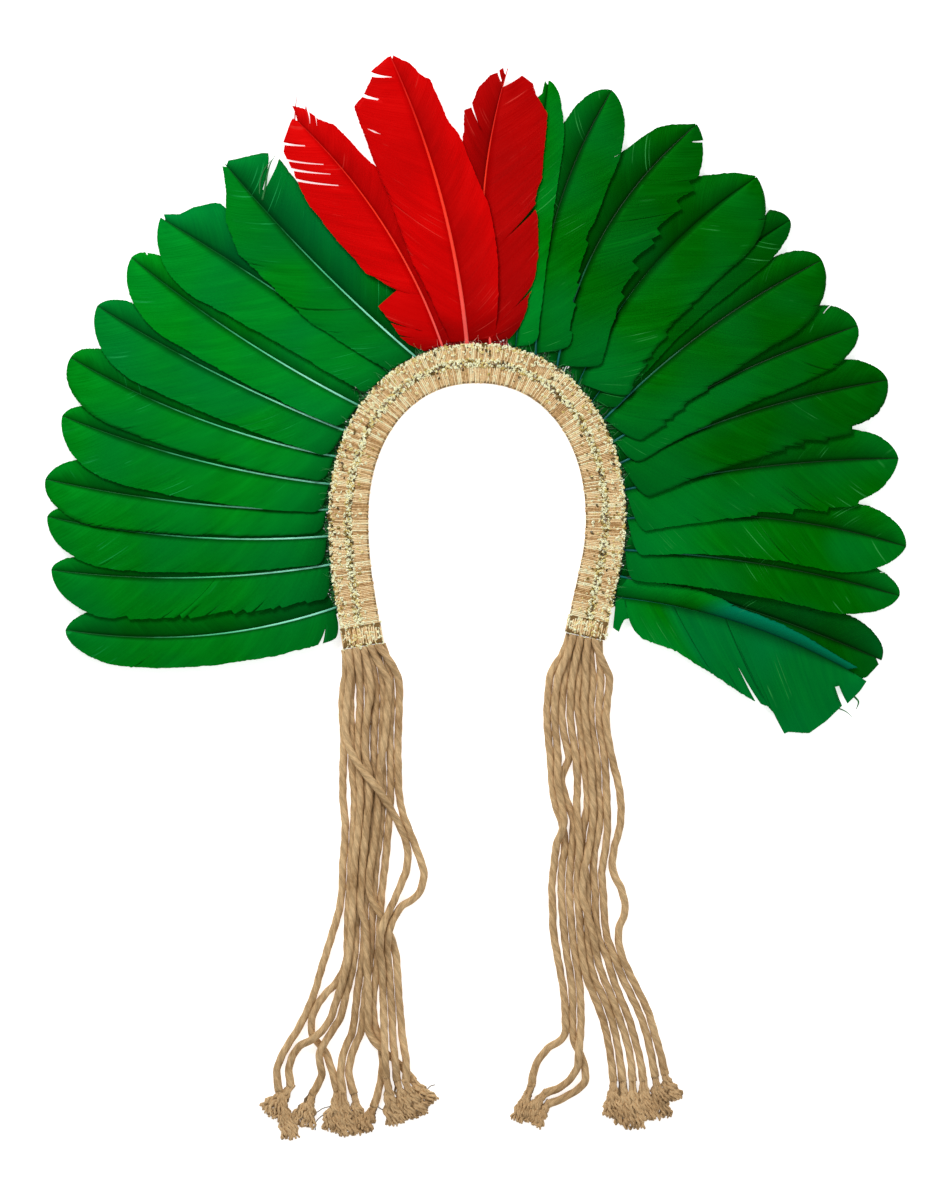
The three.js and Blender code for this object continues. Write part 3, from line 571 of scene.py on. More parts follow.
def slide(samples, normals, laid):
    """The cheapest chain of sideways shifts: low, near the route, and without sharp bends."""
    middle = len(SHIFTS) // 2
    places = samples[:, None] + normals[:, None] * SHIFTS[None, :, None]
    cost = rest_height(places.reshape(-1, 2), laid).reshape(places.shape[:2])
    cost += SLIDE_COST * SHIFTS ** 2
    total = np.full(len(SHIFTS), np.inf)
    total[middle] = 0
    choices = []
    for row in cost[1:]:
        padded = np.concatenate([[np.inf], total, [np.inf]])
        options = np.stack([padded[:-2] + BEND_COST, padded[1:-1], padded[2:] + BEND_COST])
        choices.append(options.argmin(axis=0) - 1)
        total = options.min(axis=0) + row
    chain = [middle]
    for choice in reversed(choices):
        chain.append(int(np.clip(chain[-1] + choice[chain[-1]], 0, len(SHIFTS) - 1)))
    chain.reverse()
    return SHIFTS[chain]


def smoothed(values, reach):
    made = []
    for i in range(len(values)):
        span = min(reach, i, len(values) - 1 - i)
        made.append(values[i - span:i + span + 1].mean())
    return np.array(made)


def raise_steps(plan, laid):
    """Heights of a cord's steps, raised until the straight stretches between them clear all."""
    height = rest_height(plan, laid)
    before = np.repeat(np.arange(len(plan) - 1), STRETCH_PARTS)
    share = np.tile(np.arange(STRETCH_PARTS) / STRETCH_PARTS, len(plan) - 1)
    before = np.append(before, len(plan) - 2)
    share = np.append(share, 1.0)
    between = plan[before] * (1 - share)[:, None] + plan[before + 1] * share[:, None]
    needed = rest_height(between, laid)
    drops = HUMP_SLOPE * np.linalg.norm(np.diff(plan, axis=0), axis=1)
    for _ in range(RAISE_ROUNDS):
        for k, s, need in zip(before, share, needed):
            lack = need - (height[k] * (1 - s) + height[k + 1] * s)
            if lack > 0:
                spread = (1 - s) ** 2 + s ** 2
                height[k] += lack * (1 - s) / spread
                height[k + 1] += lack * s / spread
        height[0] = height[1] = max(height[0], height[1])
        last = len(plan) - 1
        for i in range(1, len(plan)):
            height[i] = max(height[i], height[i - 1] - drops[i - 1])
            j = last - i
            height[j] = max(height[j], height[j + 1] - drops[j])
    points = np.column_stack([between, height[before] * (1 - share) + height[before + 1] * share])
    return height, points


def lay_cords(end):
    """The centreline of each cord of one end, and its last point, in the order of laying."""
    laid = np.zeros((0, 3))
    middle, leave, right = band_end(end)
    lines = []
    for tie in TIES[end]:
        start = middle + leave * GAP + right * tie["slot"] * CORD_PITCH / 2
        plan = np.vstack([start, start + leave * 2 * CORD, tie["route"]])
        samples = spaced(smooth_line(plan), ROUTE_SAMPLES)
        travel = unit(np.gradient(samples, axis=0))
        normals = np.stack([-travel[:, 1], travel[:, 0]], axis=1)
        shifts = smoothed(slide(samples, normals, laid), SLIDE_SMOOTH)
        settled = smooth_line(samples + normals * shifts[:, None], 4)
        plan = spaced(settled, math.ceil(path_length(settled) / STEP_LENGTH))
        height, points = raise_steps(plan, laid)
        laid = np.vstack([laid, points])
        steps = np.column_stack([plan, height])
        square = steps[0] + SQUARE_START * np.append(leave, 0.0)
        lines.append(smooth_line(np.vstack([steps[:1], square, steps[1:]]), 12))
    return lines


CORD_LINES = {end: lay_cords(end) for end in TIES}
for end, lines in CORD_LINES.items():
    print(end, "cord lengths in mm:", [round(path_length(line)) for line in lines])

# %% [markdown]
# A cord is three soft strands in a slow twist. Its surface is a tube whose section has three
# shallow lobes, and the section turns as it goes, so the mesh itself runs along the strands.
# Streaks of fibre are noise in the section's own turning frame, drawn out along the cord.

# %% Cotton material
def cotton_material(name, dark, light, stretch, groove_shade=0.76):
    """Fibres drawn out along a strand; the last argument is how dark the painted shade between strands is.
    """
    material, tree, shader, place = new_material(name, 0.85, 0.15)
    uv = node(tree, "ShaderNodeUVMap", uv_map="UVMap").outputs["UV"]
    turned = node(tree, "ShaderNodeSeparateXYZ", {"Vector": uv}).outputs
    drawn = maths(tree, "MULTIPLY", attribute(tree, "along"), stretch)
    strand = noise(tree, vector(tree, X=turned["X"], Y=turned["Y"], Z=drawn), 3.4, 4.0, 0.65)
    patch = maths(tree, "MULTIPLY", noise(tree, place, 70.0), 0.4)
    blend = maths(tree, "MULTIPLY_ADD", strand, 0.6, patch)
    # painted shade: darker in the grooves between the strands, and on tuft yarns that lie low
    groove = remap(tree, attribute(tree, "ply"), -1.0, 0.3, groove_shade, 1.0)
    colour = ramp(tree, blend, [(0.32, dark), (0.68, light)])
    dress(tree, shader, brightened(tree, colour, groove), strand, 0.7, 0.6)
    return material


COTTON = cotton_material("cotton_cord", linear(158, 120, 76), linear(242, 208, 158), 0.1)
YARN = cotton_material("cotton_yarn", linear(176, 136, 90), linear(246, 212, 162), 0.5, 0.3)
LOOSE_THREAD = cotton_material("loose_thread", linear(124, 116, 108), linear(166, 160, 150), 0.5)

# %% One cord
RING_STEP = 1.2
CORD_SIDES = 18
LOBES = 3
LOBE_DEPTH = 0.055
LOOSENESS = 1.1  # soft cord spreads past its drawn diameter
TWIST_PITCH = 30.0
END_SWELL = 0.1
SWELL_REACH = 14
FLOOR_GAP = 0.02


def cord_surface(line, seed):
    """Ring centres, points and attributes of a twisted tube along a centreline."""
    centres = spaced(line, math.ceil(path_length(line) / RING_STEP))
    distance = np.linspace(0, path_length(line), len(centres))[:, None]
    corner = round_angles(CORD_SIDES)
    turn = distance * 2 * math.pi / TWIST_PITCH + 0.6 * soft_noise(distance, seed, 0.05)
    swell = 1 + 0.05 * soft_noise(distance, seed + 1, 0.12)
    swell += END_SWELL * smoothstep(distance, distance[-1] - SWELL_REACH, distance[-1])
    ply = np.cos(LOBES * corner)
    radius = CORD / 2 * LOOSENESS * swell * (1 - LOBE_DEPTH + LOBE_DEPTH * ply)
    points = rings_round(centres, *square_to(centres), radius, radius, corner + turn)
    points[..., 2] = np.maximum(points[..., 2], FLOOR_GAP)
    layers = {"uv": np.tile(on_circle(corner), (len(centres), 1)),
              "along": np.repeat(distance, CORD_SIDES) + seed, "ply": np.tile(ply, len(centres))}
    return centres, points.reshape(-1, 3), layers


def make_cord(end, number, line):
    seed = 1000 + 40 * number + (500 if end == "left" else 0)
    centres, points, layers = cord_surface(line, seed)
    faces = tube_faces(len(centres), CORD_SIDES)
    piece = closed_piece(f"cord_{end}_{number:02d}", points, faces, COTTON, **layers)
    return declare(piece, f"tie_{end}_{number:02d}"), centres


# %% [markdown]
# Past its end a cord opens into a tuft. The thin yarns that it is plied from spread into a fan,
# keep the crimp of the twist, and are cut blunt. One tuft holds the yarns of all the cords that
# end in it.

# %% Tufts
YARNS = 28
YARN_RINGS = 18
YARN_SIDES = 5
YARN_RADIUS = 0.9
YARN_ROOT = 2.5
YARN_START = 1.6  # yarns begin this near the cord's middle
LOCK_LEVEL = 2.6
LOCK_HALF_HEIGHT = 1.7
CRIMP = 0.9
CURL = {("left", 2): 2.0, ("left", 3): 1.0, ("right", 1): 0.9}
PLAIN_CURL = 0.5


def lock_yarns(line, tie, curl, seed):
    """Yarns of one cord's fan: each starts inside the cord and ends at its place in the cut."""
    rng = np.random.default_rng(seed)
    end = line[-1]
    along = np.array([*tie["aim"], LOCK_LEVEL]) - end
    reach = np.linalg.norm(along)
    along /= reach
    across = np.array([-along[1], along[0], 0.0]) / np.hypot(along[0], along[1])
    up = np.cross(across, along)
    up *= np.sign(up[2])
    t = np.linspace(0, 1, YARN_RINGS)
    turns = round_angles(YARN_SIDES)
    yarns = []
    for k in range(YARNS):
        begin = rng.uniform(-1, 1, 2) * YARN_START
        place = (k + 0.5) / YARNS * 2 - 1 + rng.normal(0, 0.03)
        finish = np.array([place * tie["flare"], rng.uniform(-1, 1) * LOCK_HALF_HEIGHT])
        length = reach * rng.uniform(0.93, 1.03) - 0.16 * abs(place) * tie["flare"]
        side, rise = begin[:, None] + (finish - begin)[:, None] * smoothstep(t, 0.05, 1.0)
        phase, rate = rng.uniform(0, 2 * math.pi), rng.uniform(3.0, 5.0)
        wave = phase + rate * 2 * math.pi * t
        crimp = CRIMP * smoothstep(t, 0.1, 0.45)
        slow = curl * np.sin(phase / 3 + 2.2 * 2 * math.pi * t) * smoothstep(t, 0.35, 0.8)
        side = side + crimp * np.sin(wave) + slow * (1 - t ** 4)
        rise = rise + 0.8 * crimp * np.cos(wave)
        centre = end + np.outer(side, across) + np.outer(rise, up)
        centre += np.outer(t * (length + YARN_ROOT) - YARN_ROOT, along)
        radius = YARN_RADIUS * rng.uniform(0.75, 1.15) * (1 - 0.25 * t ** 6)
        centre[:, 2] = np.clip(centre[:, 2], radius + 0.05, None)
        wide = radius[:, None]
        rings = rings_round(centre, *square_to(centre), wide, wide, turns)
        # each yarn's own random tone, plus painted shade on yarns that lie low in the tuft
        tone_and_shade = 0.5 * rng.uniform(-1.0, 1.0) + 0.5 * (rise - rise.mean()) + 0.35 * begin[1]
        yarns.append((rings.reshape(-1, 3), np.tile(on_circle(turns) + 3.1 * k, (YARN_RINGS, 1)),
                      np.repeat(t * reach + 7.3 * k, YARN_SIDES),
                      np.repeat(np.clip(tone_and_shade, -1, 1), YARN_SIDES)))
    return yarns


def make_tuft(end, tuft):
    yarns = []
    for number, (tie, line) in enumerate(zip(TIES[end], CORD_LINES[end])):
        if tie["tuft"] == tuft:
            yarns += lock_yarns(line, tie, CURL.get((end, tuft), PLAIN_CURL), 7000 + 10 * number)
    points, uv, along, ply = (np.concatenate(parts) for parts in zip(*yarns))
    faces = tube_faces(YARN_RINGS, YARN_SIDES, len(yarns))
    piece = closed_piece(f"tuft_{end}_{tuft}_yarns", points, faces, YARN, uv=uv, along=along, ply=ply)
    return declare(piece, f"tuft_{end}_{tuft}")


# %% Stray threads
# A few grey thread ends stick out of the tufts, on routes in plan millimetres, sloping down.
STRAY_THREADS = [
    [(-88, -446), (-92.6, -447.3), (-96, -449.5), (-99, -450.3)],
    [(-90, -450), (-93.6, -452.1), (-97, -456), (-97.2, -460.5)],
    [(-61, -443), (-59, -446.7), (-56, -448), (-52.8, -445.5)],
    [(-35, -440), (-31.5, -437.7), (-28, -434), (-25.2, -433.2)],
]
THREAD_RADIUS = 0.35
THREAD_SIDES = 6
THREAD_LEVELS = (3.2, 1.6)


def stray_thread(number, route):
    line = smooth_line(np.column_stack([route, np.linspace(*THREAD_LEVELS, len(route))]), 6)
    turns = round_angles(THREAD_SIDES)
    right, _ = square_to(line)
    rings = rings_round(line, right, UP[None], THREAD_RADIUS, THREAD_RADIUS, turns)
    piece = closed_piece(f"stray_thread_{number}", rings.reshape(-1, 3),
                         tube_faces(len(line), THREAD_SIDES), LOOSE_THREAD,
                         uv=np.tile(on_circle(turns), (len(line), 1)),
                         along=np.repeat(np.arange(len(line)), THREAD_SIDES),
                         ply=np.zeros(THREAD_SIDES * len(line)))
    return declare(piece)


for number, route in enumerate(STRAY_THREADS, start=1):
    stray_thread(number, route)
print(len(STRAY_THREADS), "stray threads")

# %% Make and declare cords and tufts
for end, lines in CORD_LINES.items():
    tufts = {tuft: make_tuft(end, tuft) for tuft in sorted({tie["tuft"] for tie in TIES[end]})}
    print(end, "tufts,", triangles(*tufts.values()), "triangles")
    for number, (tie, line) in enumerate(zip(TIES[end], lines), start=1):
        cord, centres = make_cord(end, number, line)
    print(end, "cords made,", triangles(cord), "triangles in the last")

# %% [markdown]
# ## Feather dye
# A dyed quill feather is satin, not glossy: its barbs lie side by side like fine cords, and the
# light runs along them in streaks. The feather meshes carry a UV map in which u counts
# millimetres along the shaft, following each barb, and v runs from the shaft to the edge. So
# noise that is fine in u and long in v gives streaks that follow the barbs exactly: partly the
# barbs' own colour and partly painted sheen.

# %% Feather material
# the colour of a painted sheen on glossy, folded vanes
TEAL_SHEEN = linear(0, 112, 92)


def feather_material(name, colours, satin, root_shade, tip_value, groove_shade):
    """Barbs: streaks of three colours; pool is where dye gathers, and satin tints the shine."""
    deep, middle, light, pool, glint = (linear(*colour) for colour in colours)
    material, tree, shader, place = new_material(name, 0.5, 0.3)
    uv = node(tree, "ShaderNodeUVMap", uv_map="UVMap").outputs["UV"]
    along = attribute(tree, "along")

    streak = noise(tree, stretched(tree, uv, 1.7, 1.1), 1.0, 3.0, 0.6)
    lock = noise(tree, stretched(tree, uv, 0.11, 0.9))
    blend = maths(tree, "MULTIPLY_ADD", lock, 0.55, maths(tree, "MULTIPLY", streak, 0.45))
    colour = ramp(tree, blend, [(0.2, deep), (0.5, middle), (0.8, light)])
    colour = mix(tree, remap(tree, noise(tree, place, 22.0, 1.0), 0.4, 0.7, 0.0, 0.6), colour, pool)
    colour = mix(tree, remap(tree, along, 0.0, 0.4, 0.75, 0.0), colour, pool)
    # painted blue sheen, strongest on a folded, glossy vane
    colour = mix(tree, attribute(tree, "teal"), colour, TEAL_SHEEN)

    # painted shade: darker in a strip beside the shaft, and on the folded inner vane near the shaft
    from_shaft = node(tree, "ShaderNodeSeparateXYZ", {"Vector": uv}).outputs["Y"]
    groove = remap(tree, from_shaft, 0.0, 0.13, groove_shade, 1.0)
    fold = remap(tree, from_shaft, 0.0, 0.75, 0.26, 1.0)
    shade = node(tree, "ShaderNodeMix", {0: attribute(tree, "inner"), 2: groove, 3: fold},
                 data_type="FLOAT").outputs[0]
    # painted shade: the barbs are darker near the root, by the braid
    root = remap(tree, along, 0.0, 0.16, root_shade, 1.0)
    tip = remap(tree, along, 0.3, 0.95, 1.0, tip_value)
    value = maths(tree, "MULTIPLY", maths(tree, "MULTIPLY", shade, attribute(tree, "tone")),
                  maths(tree, "MULTIPLY", root, tip))

    # painted highlight: rare single barbs that catch the light turn pale
    single = remap(tree, noise(tree, stretched(tree, uv, 0.9, 0.5), 1.0, 1.0), 0.64, 0.72)
    where = remap(tree, noise(tree, place, 34.0), 0.55, 0.64, 0.0, 0.5)
    colour = mix(tree, maths(tree, "MULTIPLY", single, where), brightened(tree, colour, value), glint)
    ridge = noise(tree, stretched(tree, uv, 2.6, 0.6))
    dress(tree, shader, colour, ridge, 0.5, 0.4)
    tree.links.new(remap(tree, streak, 0.3, 0.7, 0.38, 0.55), shader.inputs["Roughness"])
    shader.inputs["Specular Tint"].default_value = (*satin, 1.0)
    return material


def shaft_material(name, stops):
    """The shaft: glossy horn, coloured along its length by (share, colour) stops."""
    material, tree, shader, place = new_material(name, 0.32, 0.15)
    grain = noise(tree, place, 120.0)
    uneven = maths(tree, "MULTIPLY_ADD", grain, 0.2, attribute(tree, "along"))
    dress(tree, shader, ramp(tree, uneven, stops), grain, 0.15, 0.3)
    return material


LEFT_GREEN = feather_material(
    "green_barbs_left", [(0, 88, 6), (0, 118, 12), (2, 144, 26), (0, 104, 38), (40, 170, 90)],
    (0.0, 1.0, 0.1), 0.45, 1.0, 0.4)
RIGHT_GREEN = feather_material(
    "green_barbs_right", [(0, 78, 0), (0, 106, 1), (2, 136, 16), (0, 122, 44), (70, 175, 90)],
    (0.0, 1.0, 0.02), 0.75, 0.8, 0.42)
RED = feather_material(
    "red_barbs", [(164, 0, 0), (202, 0, 1), (226, 10, 8), (180, 1, 2), (232, 70, 60)],
    (1.0, 0.06, 0.05), 0.6, 1.0, 0.9)
# the pale mint stretch is a painted highlight on the shaft's own green
LEFT_SHAFT = shaft_material("green_shaft_pale", [
    (0.1, linear(30, 130, 100)), (0.3, linear(160, 250, 215)), (0.56, linear(80, 200, 140)),
    (0.8, linear(0, 92, 30))])
# the teal stretch near the band is a painted highlight on the shaft's own dark green
RIGHT_SHAFT = shaft_material("green_shaft_dark", [
    (0.1, linear(0, 40, 60)), (0.2, linear(10, 110, 100)), (0.42, linear(20, 104, 66)),
    (0.56, linear(0, 60, 10)), (1.0, linear(0, 44, 0))])
RED_SHAFT = shaft_material("red_shaft", [
    (0.1, linear(255, 104, 98)), (0.4, linear(255, 70, 52)), (0.7, linear(255, 52, 28)),
    (1.0, linear(214, 16, 10))])
print("feather materials: green and red, barbs and shafts")

# %% [markdown]
# ## Feathers
# Each feather is a shaft with a vane on both sides. A vane is made of rows, one for each narrow
# bundle of barbs. A row leaves the shaft, bends towards the tip and ends on the feather's
# outline, so the mesh itself runs the way the barbs do. Where two bundles have come apart, the
# quads between two rows are left out from some way along the row to the edge, and the rows pull
# apart: that is a split. The same table as in the construction says where each quill sits.

# %% Feather table
# tone is how bright a feather is drawn: partly its dye, partly painted shade; the other columns are the
# construction's.
FEATHER_COLUMNS = ["name", "at", "tip_x", "tip_y", "bow", "out", "inn", "base", "lift", "roll", "tone"]
FEATHER_ROWS = [
    ["red_feather_left", -17, -108, 145.5, 11, 26, 26, 0.6, 1.6, 0.4, 1.1],
    ["red_feather_middle", -5, -52, 184, 8.5, 29, 21, 0.4, 5.4, 0, 1.12],
    ["red_feather_right", 10, 18.5, 177, 11, 28, 20, 0.5, 1.6, 0.3, 0.72],
    ["green_left_01", -28, -151.5, 120, -4, 34, 30, 0.6, 0, 1, 0.95],
    ["green_left_02", -44, -190, 87.5, 2, 36, 17, 0.5, 0, 1, 1.1],
    ["green_left_03", -70, -207.5, 63.5, -5, 31, 15, 0.5, 0, 1, 1.2],
    ["green_left_04", -86, -228, 34.5, -4.5, 33, 17, 0.5, 0, 1, 1.0],
    ["green_left_05", -100, -244, 3.5, -8.5, 27, 17, 0.5, 0, 1, 1.06],
    ["green_left_06", -116, -249, -31.5, -6.5, 32, 18, 0.5, 0, 1, 0.98],
    ["green_left_07", -130, -259, -69.5, -5.5, 24, 21, 0.5, 0, 1, 0.98],
    ["green_left_08", -145, -258, -92, -7, 29, 14, 0.5, 0, 1, 0.85],
    ["green_left_09", -161, -255.5, -124, -7, 30, 12, 0.6, 0, 1, 0.86],
    ["green_left_10", -185, -247, -160, -11.5, 20, 19, 0.95, 0, 1, 0.84],
    ["green_right_01", 22, 43, 170, 1, 16, 17, 0.5, 0, 1, 1.1],
    ["green_right_02", 36, 81, 164, 13, 27, 18, 0.5, 0, 1, 0.74],
    ["green_right_03", 49, 132, 143.5, 18, 33, 20, 0.5, 0, 1, 0.6],
    ["green_right_04", 62, 168, 112, 14, 36, 20, 0.5, 0, 1, 0.72],
    ["green_right_05", 73, 188, 86, 10, 18, 18, 0.5, 0, 1, 0.46],
    ["green_right_06", 84, 207, 62, 8, 32, 16, 0.5, 0, 1, 0.66],
    ["green_right_07", 95.5, 228.5, 22.5, 6, 22, 22, 0.5, 0, 1, 0.74],
    ["green_right_08", 107.5, 246.5, -10, 7, 30, 20, 0.5, 0, 1, 0.6],
    ["green_right_09", 121, 253, -57, 5, 34, 21, 0.5, 0, 1, 0.85],
    ["green_right_10", 137, 257.5, -110, 10, 29, 20, 0.5, 0, 1, 1.0],
    ["green_right_11", 154, 253.5, -139.5, 6, 23, 14, 0.5, 0, 1, 0.85],
    ["green_right_12", 168, 243, -178, 5, 18, 18, 0.5, -2.6, 0.2, 0.5],
    ["green_right_13", 182, 226.5, -186, 9, 50, 4, 0.5, 0, 0.5, 1.12],
]
FEATHERS = [dict(zip(FEATHER_COLUMNS, row)) for row in FEATHER_ROWS]

# The splits that are large enough to see across a room, as (where, depth, reach, gap): how far up
# the feather, where across the vane it starts and ends (0 is the shaft, 1 the edge), and how wide.
SPLITS = {
    ("red_feather_left", "out"): [
        (0.1, 0.4, 1.0, 2.0), (0.17, 0.3, 1.0, 2.6), (0.86, 0.25, 1.0, 2.0), (0.9, 0.13, 1.0, 2.6),
        (0.935, 0.13, 1.0, 1.6), (0.988, 0.35, 1.0, 2.0)],
    ("red_feather_left", "inn"): [(1.0, 0.3, 1.0, 1.8), (0.97, 0.5, 1.0, 1.2)],
    ("red_feather_middle", "out"): [
        (0.966, 0.13, 1.0, 3.0), (0.91, 0.62, 1.0, 1.4), (0.82, 0.62, 0.88, 1.6)],
    ("red_feather_right", "inn"): [(0.856, 0.3, 1.0, 3.4), (0.985, 0.2, 1.0, 1.6)],
    ("red_feather_right", "out"): [(0.525, 0.35, 1.0, 5.0), (0.2, 0.35, 1.0, 4.5)],
    ("green_left_01", "inn"): [(0.9, 0.13, 1.0, 7.0)],
    ("green_left_04", "inn"): [(0.72, 0.3, 0.62, 0.8)],
    ("green_left_09", "out"): [(0.3, 0.55, 1.0, 2.4), (0.46, 0.62, 1.0, 2.0), (0.62, 0.6, 1.0, 1.8)],
    ("green_left_10", "out"): [(0.085, 0.35, 1.0, 3.4)],
    ("green_right_03", "out"): [(0.985, 0.4, 1.0, 1.8)],
    ("green_right_13", "out"): [(0.73, 0.38, 1.0, 5.0), (1.045, 0.5, 1.0, 2.4)],
}

# Edges that are not a plain oval: (share of the vane, width in mm) from the band to the tip.
# A share above 1 is barb that stands out past the end of the shaft.
EDGES = {
    ("red_feather_left", "out"): [
        (0, 12), (0.05, 20), (0.1, 24), (0.2, 27), (0.255, 29), (0.268, 11), (0.3, 17), (0.4, 26),
        (0.56, 30.5), (0.75, 32), (0.84, 29), (0.9, 25), (0.975, 20.5), (0.995, 15.5), (1.013, 5.5),
        (1.02, 0.5)],
    ("red_feather_left", "inn"): [
        (0, 8), (0.3, 22), (0.5, 24), (0.65, 21), (0.72, 17.6), (0.78, 16.4), (0.91, 15.5), (0.957, 11),
        (1.014, 9.4), (1.06, 5)],
    ("red_feather_middle", "out"): [
        (0, 10), (0.3, 26), (0.55, 31), (0.7, 32.7), (0.89, 32.6), (0.905, 28.5), (0.917, 23.5),
        (0.96, 15.8), (0.975, 13.5), (1, 1)],
    ("red_feather_middle", "inn"): [
        (0, 18), (0.15, 24), (0.3, 28), (0.45, 29), (0.52, 27), (0.6, 24.5), (0.7, 23), (0.74, 19.3),
        (0.895, 18), (0.905, 15), (0.92, 13), (0.96, 9.5), (1, 2)],
    ("red_feather_right", "out"): [
        (0, 13), (0.04, 20), (0.08, 24), (0.17, 29), (0.25, 34.5), (0.37, 37), (0.5, 36), (0.55, 33.6),
        (0.65, 36.5), (0.81, 35), (0.905, 33), (0.93, 28.5), (0.957, 22.5), (0.99, 18.5), (1, 10)],
    ("red_feather_right", "inn"): [
        (0, 10), (0.4, 17), (0.77, 18.6), (0.85, 21), (0.858, 17), (0.925, 15), (0.972, 10), (0.985, 6),
        (1, 3)],
    ("green_left_01", "out"): [
        (0, 17), (0.4, 30), (0.75, 32), (0.86, 24), (0.915, 13.5), (0.96, 7.5), (1, 2.5)],
    ("green_left_01", "inn"): [
        (0, 22), (0.15, 31), (0.35, 33), (0.5, 26), (0.6, 24), (0.75, 26), (0.9, 27), (0.904, 24.5),
        (0.93, 22), (0.97, 12), (1, 3)],
    ("green_left_02", "inn"): [
        (0, 9), (0.3, 17), (0.6, 20), (0.8, 27), (0.87, 28.5), (0.895, 26), (0.936, 17), (0.955, 9),
        (1, 3)],
    ("green_right_01", "inn"): [(0, 5), (0.06, 13), (0.5, 20), (0.9, 12), (0.952, 3), (1, 2.4)],
    ("green_right_03", "inn"): [
        (0, 4), (0.08, 14), (0.4, 24), (0.7, 24), (0.84, 19), (0.91, 15.3), (0.945, 11), (0.98, 4),
        (1, 1)],
    ("green_right_04", "inn"): [
        (0, 4), (0.08, 15), (0.4, 26), (0.7, 28), (0.83, 26), (0.9, 17), (0.96, 9.5), (1, 1)],
    ("green_right_12", "out"): [(0, 9), (0.5, 18), (0.95, 22), (0.99, 13.5), (1, 3)],
    ("green_right_13", "inn"): [(0, 12), (0.32, 12.8), (0.48, 9), (0.7, 7.7), (0.83, 5.6), (1, 4)],
    ("green_right_13", "out"): [
        (0, 20), (0.03, 22.8), (0.042, 15), (0.067, 12.6), (0.1, 21), (0.146, 25), (0.3, 28.5),
        (0.4, 33.5), (0.6, 41.3), (0.72, 45), (0.78, 44.5), (0.88, 51), (0.914, 56.5), (0.925, 54),
        (0.985, 50), (1.007, 48), (1.035, 36), (1.055, 14), (1.065, 0.5)],
}
# How far the barbs lean along the shaft, as a multiple of the vane's width, at band and tip.
LEAN = {("green_left_01", "inn"): (1.1, 0.5), ("red_feather_middle", "out"): (1.2, 0.55),
        ("red_feather_right", "inn"): (1.1, 1.5)}
print(len(FEATHERS), "feathers,", sum(map(len, SPLITS.values())), "large splits")

# %% Single feathers that differ
# Vanes whose barbs have parted into clumps: how far these stand out in mm, from share to share.
TORN = {
    ("green_left_09", "out"): (3.0, 0.1, 0.75), ("green_left_01", "out"): (1.0, 0.3, 1.0),
    ("green_right_01", "inn"): (1.5, 0.0, 0.5), ("green_right_02", "out"): (2.5, 0.0, 0.5),
    ("green_right_03", "out"): (7.0, 0.3, 0.85), ("green_right_04", "out"): (3.0, 0.1, 0.5),
    ("green_right_06", "out"): (3.0, 0.0, 0.4), ("green_right_08", "out"): (5.0, 0.6, 0.92),
    ("green_right_09", "out"): (3.0, 0.5, 0.95), ("green_right_12", "out"): (2.0, 0.3, 0.9),
}
PLAIN_EDGE = (0.35, 0.0, 1.0)
# How thick a shaft is beside the others: the last feathers show only their folded vane.
SHAFT_SIZE = {"red_feather_middle": 1.9, "red_feather_left": 1.1, "red_feather_right": 1.3,
              "green_right_01": 0.35, "green_right_13": 0.3, "green_right_05": 0.35,
              "green_right_04": 0.35}
# painted shade on the folded side of a red feather
RED_FOLD_SHADE = 0.5  # how dark a red feather's folded side is
# How much painted blue sheen a feather has on its outer and inner vane: the last one is folded and glossy.
BLUE_SHEEN = {"green_right_13": (0.2, 0.8), "green_right_12": (0.0, 0.1), "green_left_02": (0.06, 0.2),
         "green_left_04": (0.08, 0.12), "green_left_01": (0.0, 0.15)}
print(len(TORN), "torn edges,", len(BLUE_SHEEN), "feathers with a blue sheen")

# %% A feather's line
QUILL_LEVEL = 5.3
ROOT_OFFSET = 1.6
BAND_CLEAR = 13.0
CLIMB_START = 0.7
CLIMB_SHARE = 0.1
CURVE_POINTS = 300
LINE_STEPS = 400


def shaft_line(feather):
    """The shaft's plan line, its length, the share of it under the band, and its side."""
    point, _, outward = band_frame(CROWN_DISTANCE + feather["at"])
    root = point[0] + ROOT_OFFSET * outward[0]
    tip = np.array([feather["tip_x"], feather["tip_y"]])
    side = -1 if tip[0] < root[0] else 1
    chord = unit(tip - root)
    inward = side * np.array([-chord[1], chord[0]])
    control = (root + tip) / 2 + 2 * feather["bow"] * inward
    t = np.linspace(0, 1, CURVE_POINTS)[:, None]
    curve = (1 - t) ** 2 * root + 2 * t * (1 - t) * control + t ** 2 * tip
    length = path_length(curve)
    curve = spaced(curve, LINE_STEPS)
    base = int((band_distance(curve) >= BAND_CLEAR).argmax()) / LINE_STEPS
    return curve, length, base, side


def on_shaft(curve, side, shares):
    """Points, and directions towards the crown side, at shares of the shaft's length."""
    at = np.linspace(0, 1, len(curve))
    slopes = np.gradient(curve, axis=0).T
    point = np.stack([np.interp(shares, at, axis) for axis in curve.T], axis=-1)
    tangent = unit(np.stack([np.interp(shares, at, axis) for axis in slopes], axis=-1))
    past = np.clip(np.asarray(shares) - 1, 0, None)[..., None] * path_length(curve)
    inward = side * np.stack([-tangent[..., 1], tangent[..., 0]], axis=-1)
    return point + past * tangent, inward


def shaft_height(feather, base, shares):
    climb = smoothstep(shares, base * CLIMB_START, base + CLIMB_SHARE)
    return QUILL_LEVEL + feather["lift"] * climb


reached = [shaft_line(feather)[1] for feather in FEATHERS]
print("quills from", round(min(reached)), "to", round(max(reached)), "mm long")

# %% A vane's edge
VANE_ROWS = 190
VANE_COLUMNS = 9
BASE_ROUND = 8.0
BASE_SPREAD = {"left": 1.2, "right": 1.7}
ROUND = {"out": 42.0, "inn": 30.0}


def round_off(distance, length):
    left = 1 - np.clip(distance / length, 0, 1)
    return np.sqrt(1 - left * left)


